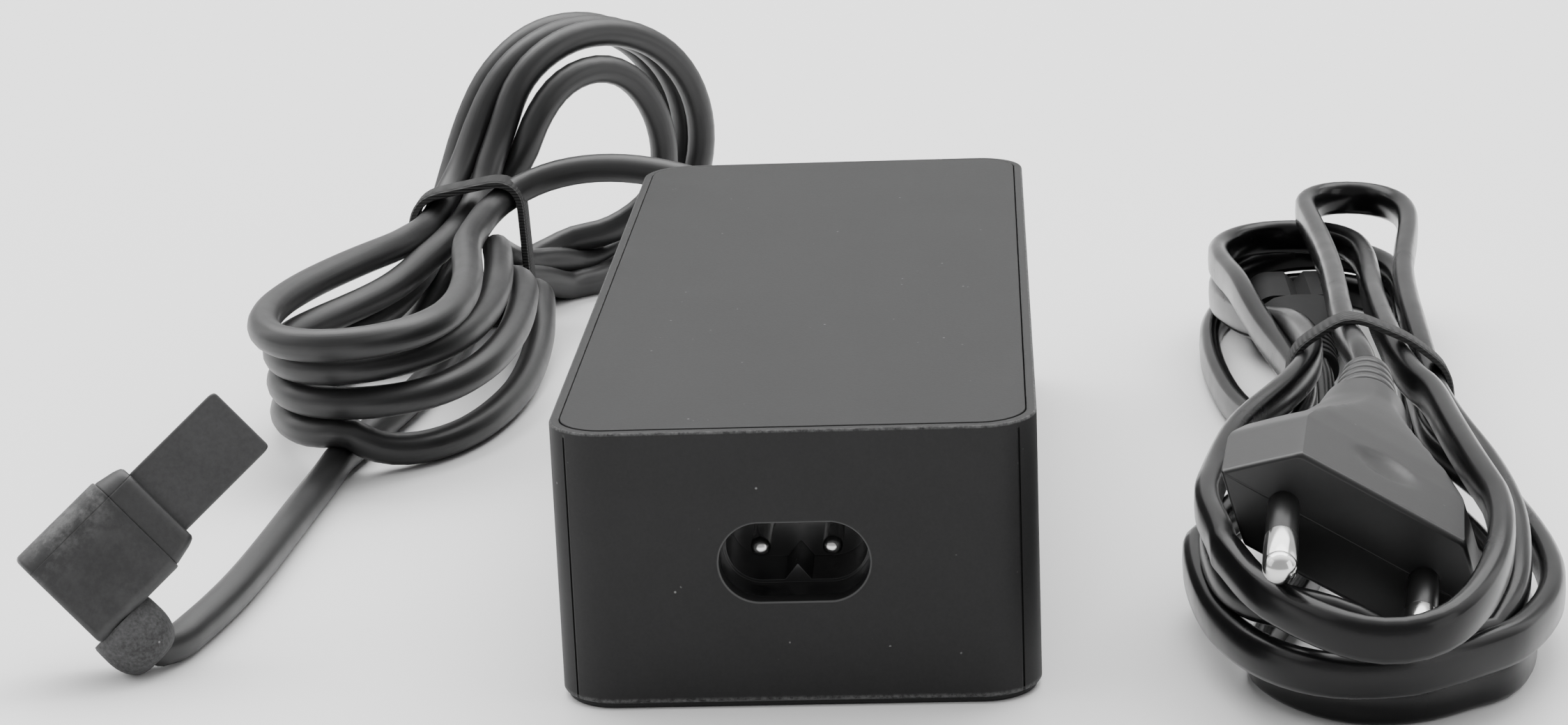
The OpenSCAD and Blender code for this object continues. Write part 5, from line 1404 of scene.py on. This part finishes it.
class ADAPTER_OT_inside(bpy.types.Operator):
    """Give the board, its parts and the contacts their finishes"""

    bl_idname = "adapter.inside"
    bl_label = "Parts inside"

    def execute(self, context):
        black = moulded("Part epoxy", (0.02, 0.02, 0.021), rough=0.45, grain=0.5, mottle=0.3)
        ferrite = moulded("Ferrite", (0.035, 0.034, 0.036), rough=0.6, grain=1.0, scale=1500.0,
                          mottle=0.6, bump=0.05)
        alu = plated("Sheet aluminium", (0.78, 0.78, 0.79), rough=0.3, wear=0.25)
        brass = plated("Contact brass", (0.75, 0.56, 0.25), rough=0.18)
        can = plated("Capacitor sleeve", (0.12, 0.12, 0.14), rough=0.35)
        finishes = {
            "circuit_board": circuit_laminate("Board laminate"),
            "control_board": circuit_laminate("Control board laminate"),
            "insulating_sheet": moulded("Fish paper", (0.22, 0.22, 0.2), rough=0.7, grain=0.8,
                                        mottle=0.4),
            "fuse": moulded("Fuse ceramic", (0.6, 0.58, 0.52), rough=0.4, grain=0.3),
            "inrush_thermistor": moulded("Thermistor lacquer", (0.03, 0.05, 0.03), rough=0.4),
            "x_capacitor": moulded("Film case yellow", (0.55, 0.33, 0.03), rough=0.4, grain=0.3,
                                   mottle=0.2),
            "y_capacitor": moulded("Disc lacquer", (0.03, 0.09, 0.28), rough=0.3, grain=0.2,
                                   mottle=0.3),
            "line_choke_windings": wound_wire("Enamelled copper", (0.62, 0.2, 0.06)),
            "pfc_choke": wound_wire("Choke copper", (0.55, 0.2, 0.07)),
            "transformer_winding": moulded("Winding tape", (0.6, 0.45, 0.05), rough=0.35,
                                           grain=0.2, mottle=0.25),
            "thermal_pads": moulded("Heat pad silicone", (0.35, 0.37, 0.4), rough=0.8, grain=0.8,
                                    mottle=0.3),
            "output_wires": moulded("Wire sleeving", (0.25, 0.02, 0.015), rough=0.4, grain=0.2),
            "heat_sink_screws": plated("Screw steel", (0.5, 0.5, 0.51), rough=0.28),
        }
        for finish, nodes in (
            (black, ("line_choke_base", "bridge_rectifier", "switching_transistor",
                     "output_rectifier", "transformer_bobbin", "optocoupler")),
            (ferrite, ("line_choke_core", "output_choke", "transformer_core")),
            (alu, ("primary_heat_sink", "secondary_heat_sink", "heat_spreader")),
            (can, ("bulk_capacitor", "output_capacitors")),
            (brass, ("dc_plug_contacts", "connector_contacts")),
        ):
            finishes.update(dict.fromkeys(nodes, finish))
        for node, finish in finishes.items():
            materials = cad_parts[node].data.materials
            for slot in range(len(materials)):
                materials[slot] = finish
            if not len(materials):
                raise RuntimeError(f"{node} has no material slot")
        return {"FINISHED"}


# ---------------------------------------------------------------- stage

FLOOR_REACH, FLOOR_BACK, FLOOR_BEND, FLOOR_TOP = 3.0, 1.6, 0.8, 3.0
CAMERA_AT = (0.024157, -0.460091, 0.153992)
CAMERA_AXES = (  # right, up and backwards
    (0.9979, 0.0512, -0.0395), (0.0239, 0.2761, 0.9608), (0.0601, -0.9598, 0.2743),
)
CAMERA_LENS = 80.69


def soft_box(name, at, towards, sides, power):
    """A rectangular light that looks at a point."""
    data = bpy.data.lights.new(name, "AREA")
    data.shape = "RECTANGLE"
    (data.size, data.size_y), data.energy = sides, power
    light = linked(name, data)
    light.location = at
    light.rotation_euler = (Vector(towards) - Vector(at)).to_track_quat("-Z", "Y").to_euler()


class ADAPTER_OT_stage(bpy.types.Operator):
    """Set the pale floor, the soft lights and the camera"""

    bl_idname = "adapter.stage"
    bl_label = "Stage"

    def execute(self, context):
        s = context.scene.adapter_stage
        rows = (
            [(-FLOOR_REACH, 0.0), (FLOOR_BACK, 0.0)]
            + arc((FLOOR_BACK, FLOOR_BEND), FLOOR_BEND, -80, 0, 8)
            + [(FLOOR_BACK + FLOOR_BEND, FLOOR_TOP)]
        )
        verts = [(x, y, z) for y, z in rows for x in (-FLOOR_REACH, FLOOR_REACH)]
        faces = [(2 * i, 2 * i + 1, 2 * i + 3, 2 * i + 2) for i in range(len(rows) - 1)]
        material, tree, place = start_material("Pale floor")
        mist = noise_of(tree, place, 6.0)
        feed(tree.nodes["Principled BSDF"], {
            "Base Color": mixed(tree, mist, s.floor, [c * 0.985 for c in s.floor]),
            "Roughness": value_of(tree, "MULTIPLY_ADD", mist, 0.1, 0.6),
        })
        give(solid("floor", verts, faces, 60), material)

        world = bpy.data.worlds.new("Studio")
        world.use_nodes = True
        # A bright backdrop and ceiling behind the object, and a dim room in front of it
        sky = world.node_tree
        way = new_node(sky, "ShaderNodeTexCoord").outputs["Generated"]
        behind = new_node(sky, "ShaderNodeVectorMath", {0: way, 1: (0, 0.8, 0.6)},
                          operation="DOT_PRODUCT").outputs["Value"]
        feed(sky.nodes["Background"], {
            "Color": between(sky, behind, 0.05, 0.85, s.room, 1.0), "Strength": s.backdrop,
        })
        context.scene.world = world
        soft_box("Overhead", (0.0, 0.7, 1.05), (0, 0.02, 0), (1.8, 1.0), s.key_power)
        soft_box("Left", (-1.1, -0.3, 0.7), (0, 0, 0.02), (0.7, 0.9), s.side_power)
        soft_box("Right", (1.15, -0.5, 0.42), (0, 0, 0.02), (0.7, 0.9), s.side_power * 2.0)

        camera = bpy.data.cameras.new("Camera")
        camera.sensor_fit = "HORIZONTAL"
        camera.sensor_width = 36.0
        camera.lens = CAMERA_LENS
        camera.clip_start = 0.01
        view = linked("Camera", camera)
        view.rotation_euler = Matrix(CAMERA_AXES).transposed().to_quaternion().to_euler()
        view.location = CAMERA_AT
        context.scene.camera = view
        return {"FINISHED"}


class ADAPTER_PT_panel(bpy.types.Panel):
    """Sizes, colours and steps of the adapter"""

    bl_label = "Laptop power adapter"
    bl_idname = "ADAPTER_PT_panel"
    bl_space_type = "VIEW_3D"
    bl_region_type = "UI"
    bl_category = "Adapter"

    def draw(self, context):
        for group in GROUPS:
            part = self.layout.box()
            part.label(text=group.removeprefix("adapter_").capitalize())
            settings = getattr(context.scene, group)
            for name in settings.bl_rna.properties.keys():
                if name not in ("rna_type", "name"):
                    part.prop(settings, name)
        column = self.layout.column(align=True)
        for step in OPERATORS:
            column.operator(step.bl_idname)


GROUPS = {
    "adapter_case": CaseSettings,
    "adapter_leads": LeadSettings,
    "adapter_plugs": PlugSettings,
    "adapter_stage": StageSettings,
}
OPERATORS = (
    ADAPTER_OT_stage,
    ADAPTER_OT_output_plug,
    ADAPTER_OT_output_lead,
    ADAPTER_OT_mains_plug,
    ADAPTER_OT_connector,
    ADAPTER_OT_mains_lead,
    ADAPTER_OT_case,
    ADAPTER_OT_inlet,
    ADAPTER_OT_inside,
)


def register():
    for name, group in GROUPS.items():
        bpy.utils.register_class(group)
        setattr(bpy.types.Scene, name, bpy.props.PointerProperty(type=group))
    for step in OPERATORS:
        bpy.utils.register_class(step)
    bpy.utils.register_class(ADAPTER_PT_panel)


def unregister():
    bpy.utils.unregister_class(ADAPTER_PT_panel)
    for step in reversed(OPERATORS):
        bpy.utils.unregister_class(step)
    for name, group in reversed(GROUPS.items()):
        delattr(bpy.types.Scene, name)
        bpy.utils.unregister_class(group)


def main():
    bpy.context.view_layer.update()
    register()
    for step in OPERATORS:
        group, name = step.bl_idname.split(".")
        getattr(getattr(bpy.ops, group), name)()


if __name__ == "__main__":
    main()
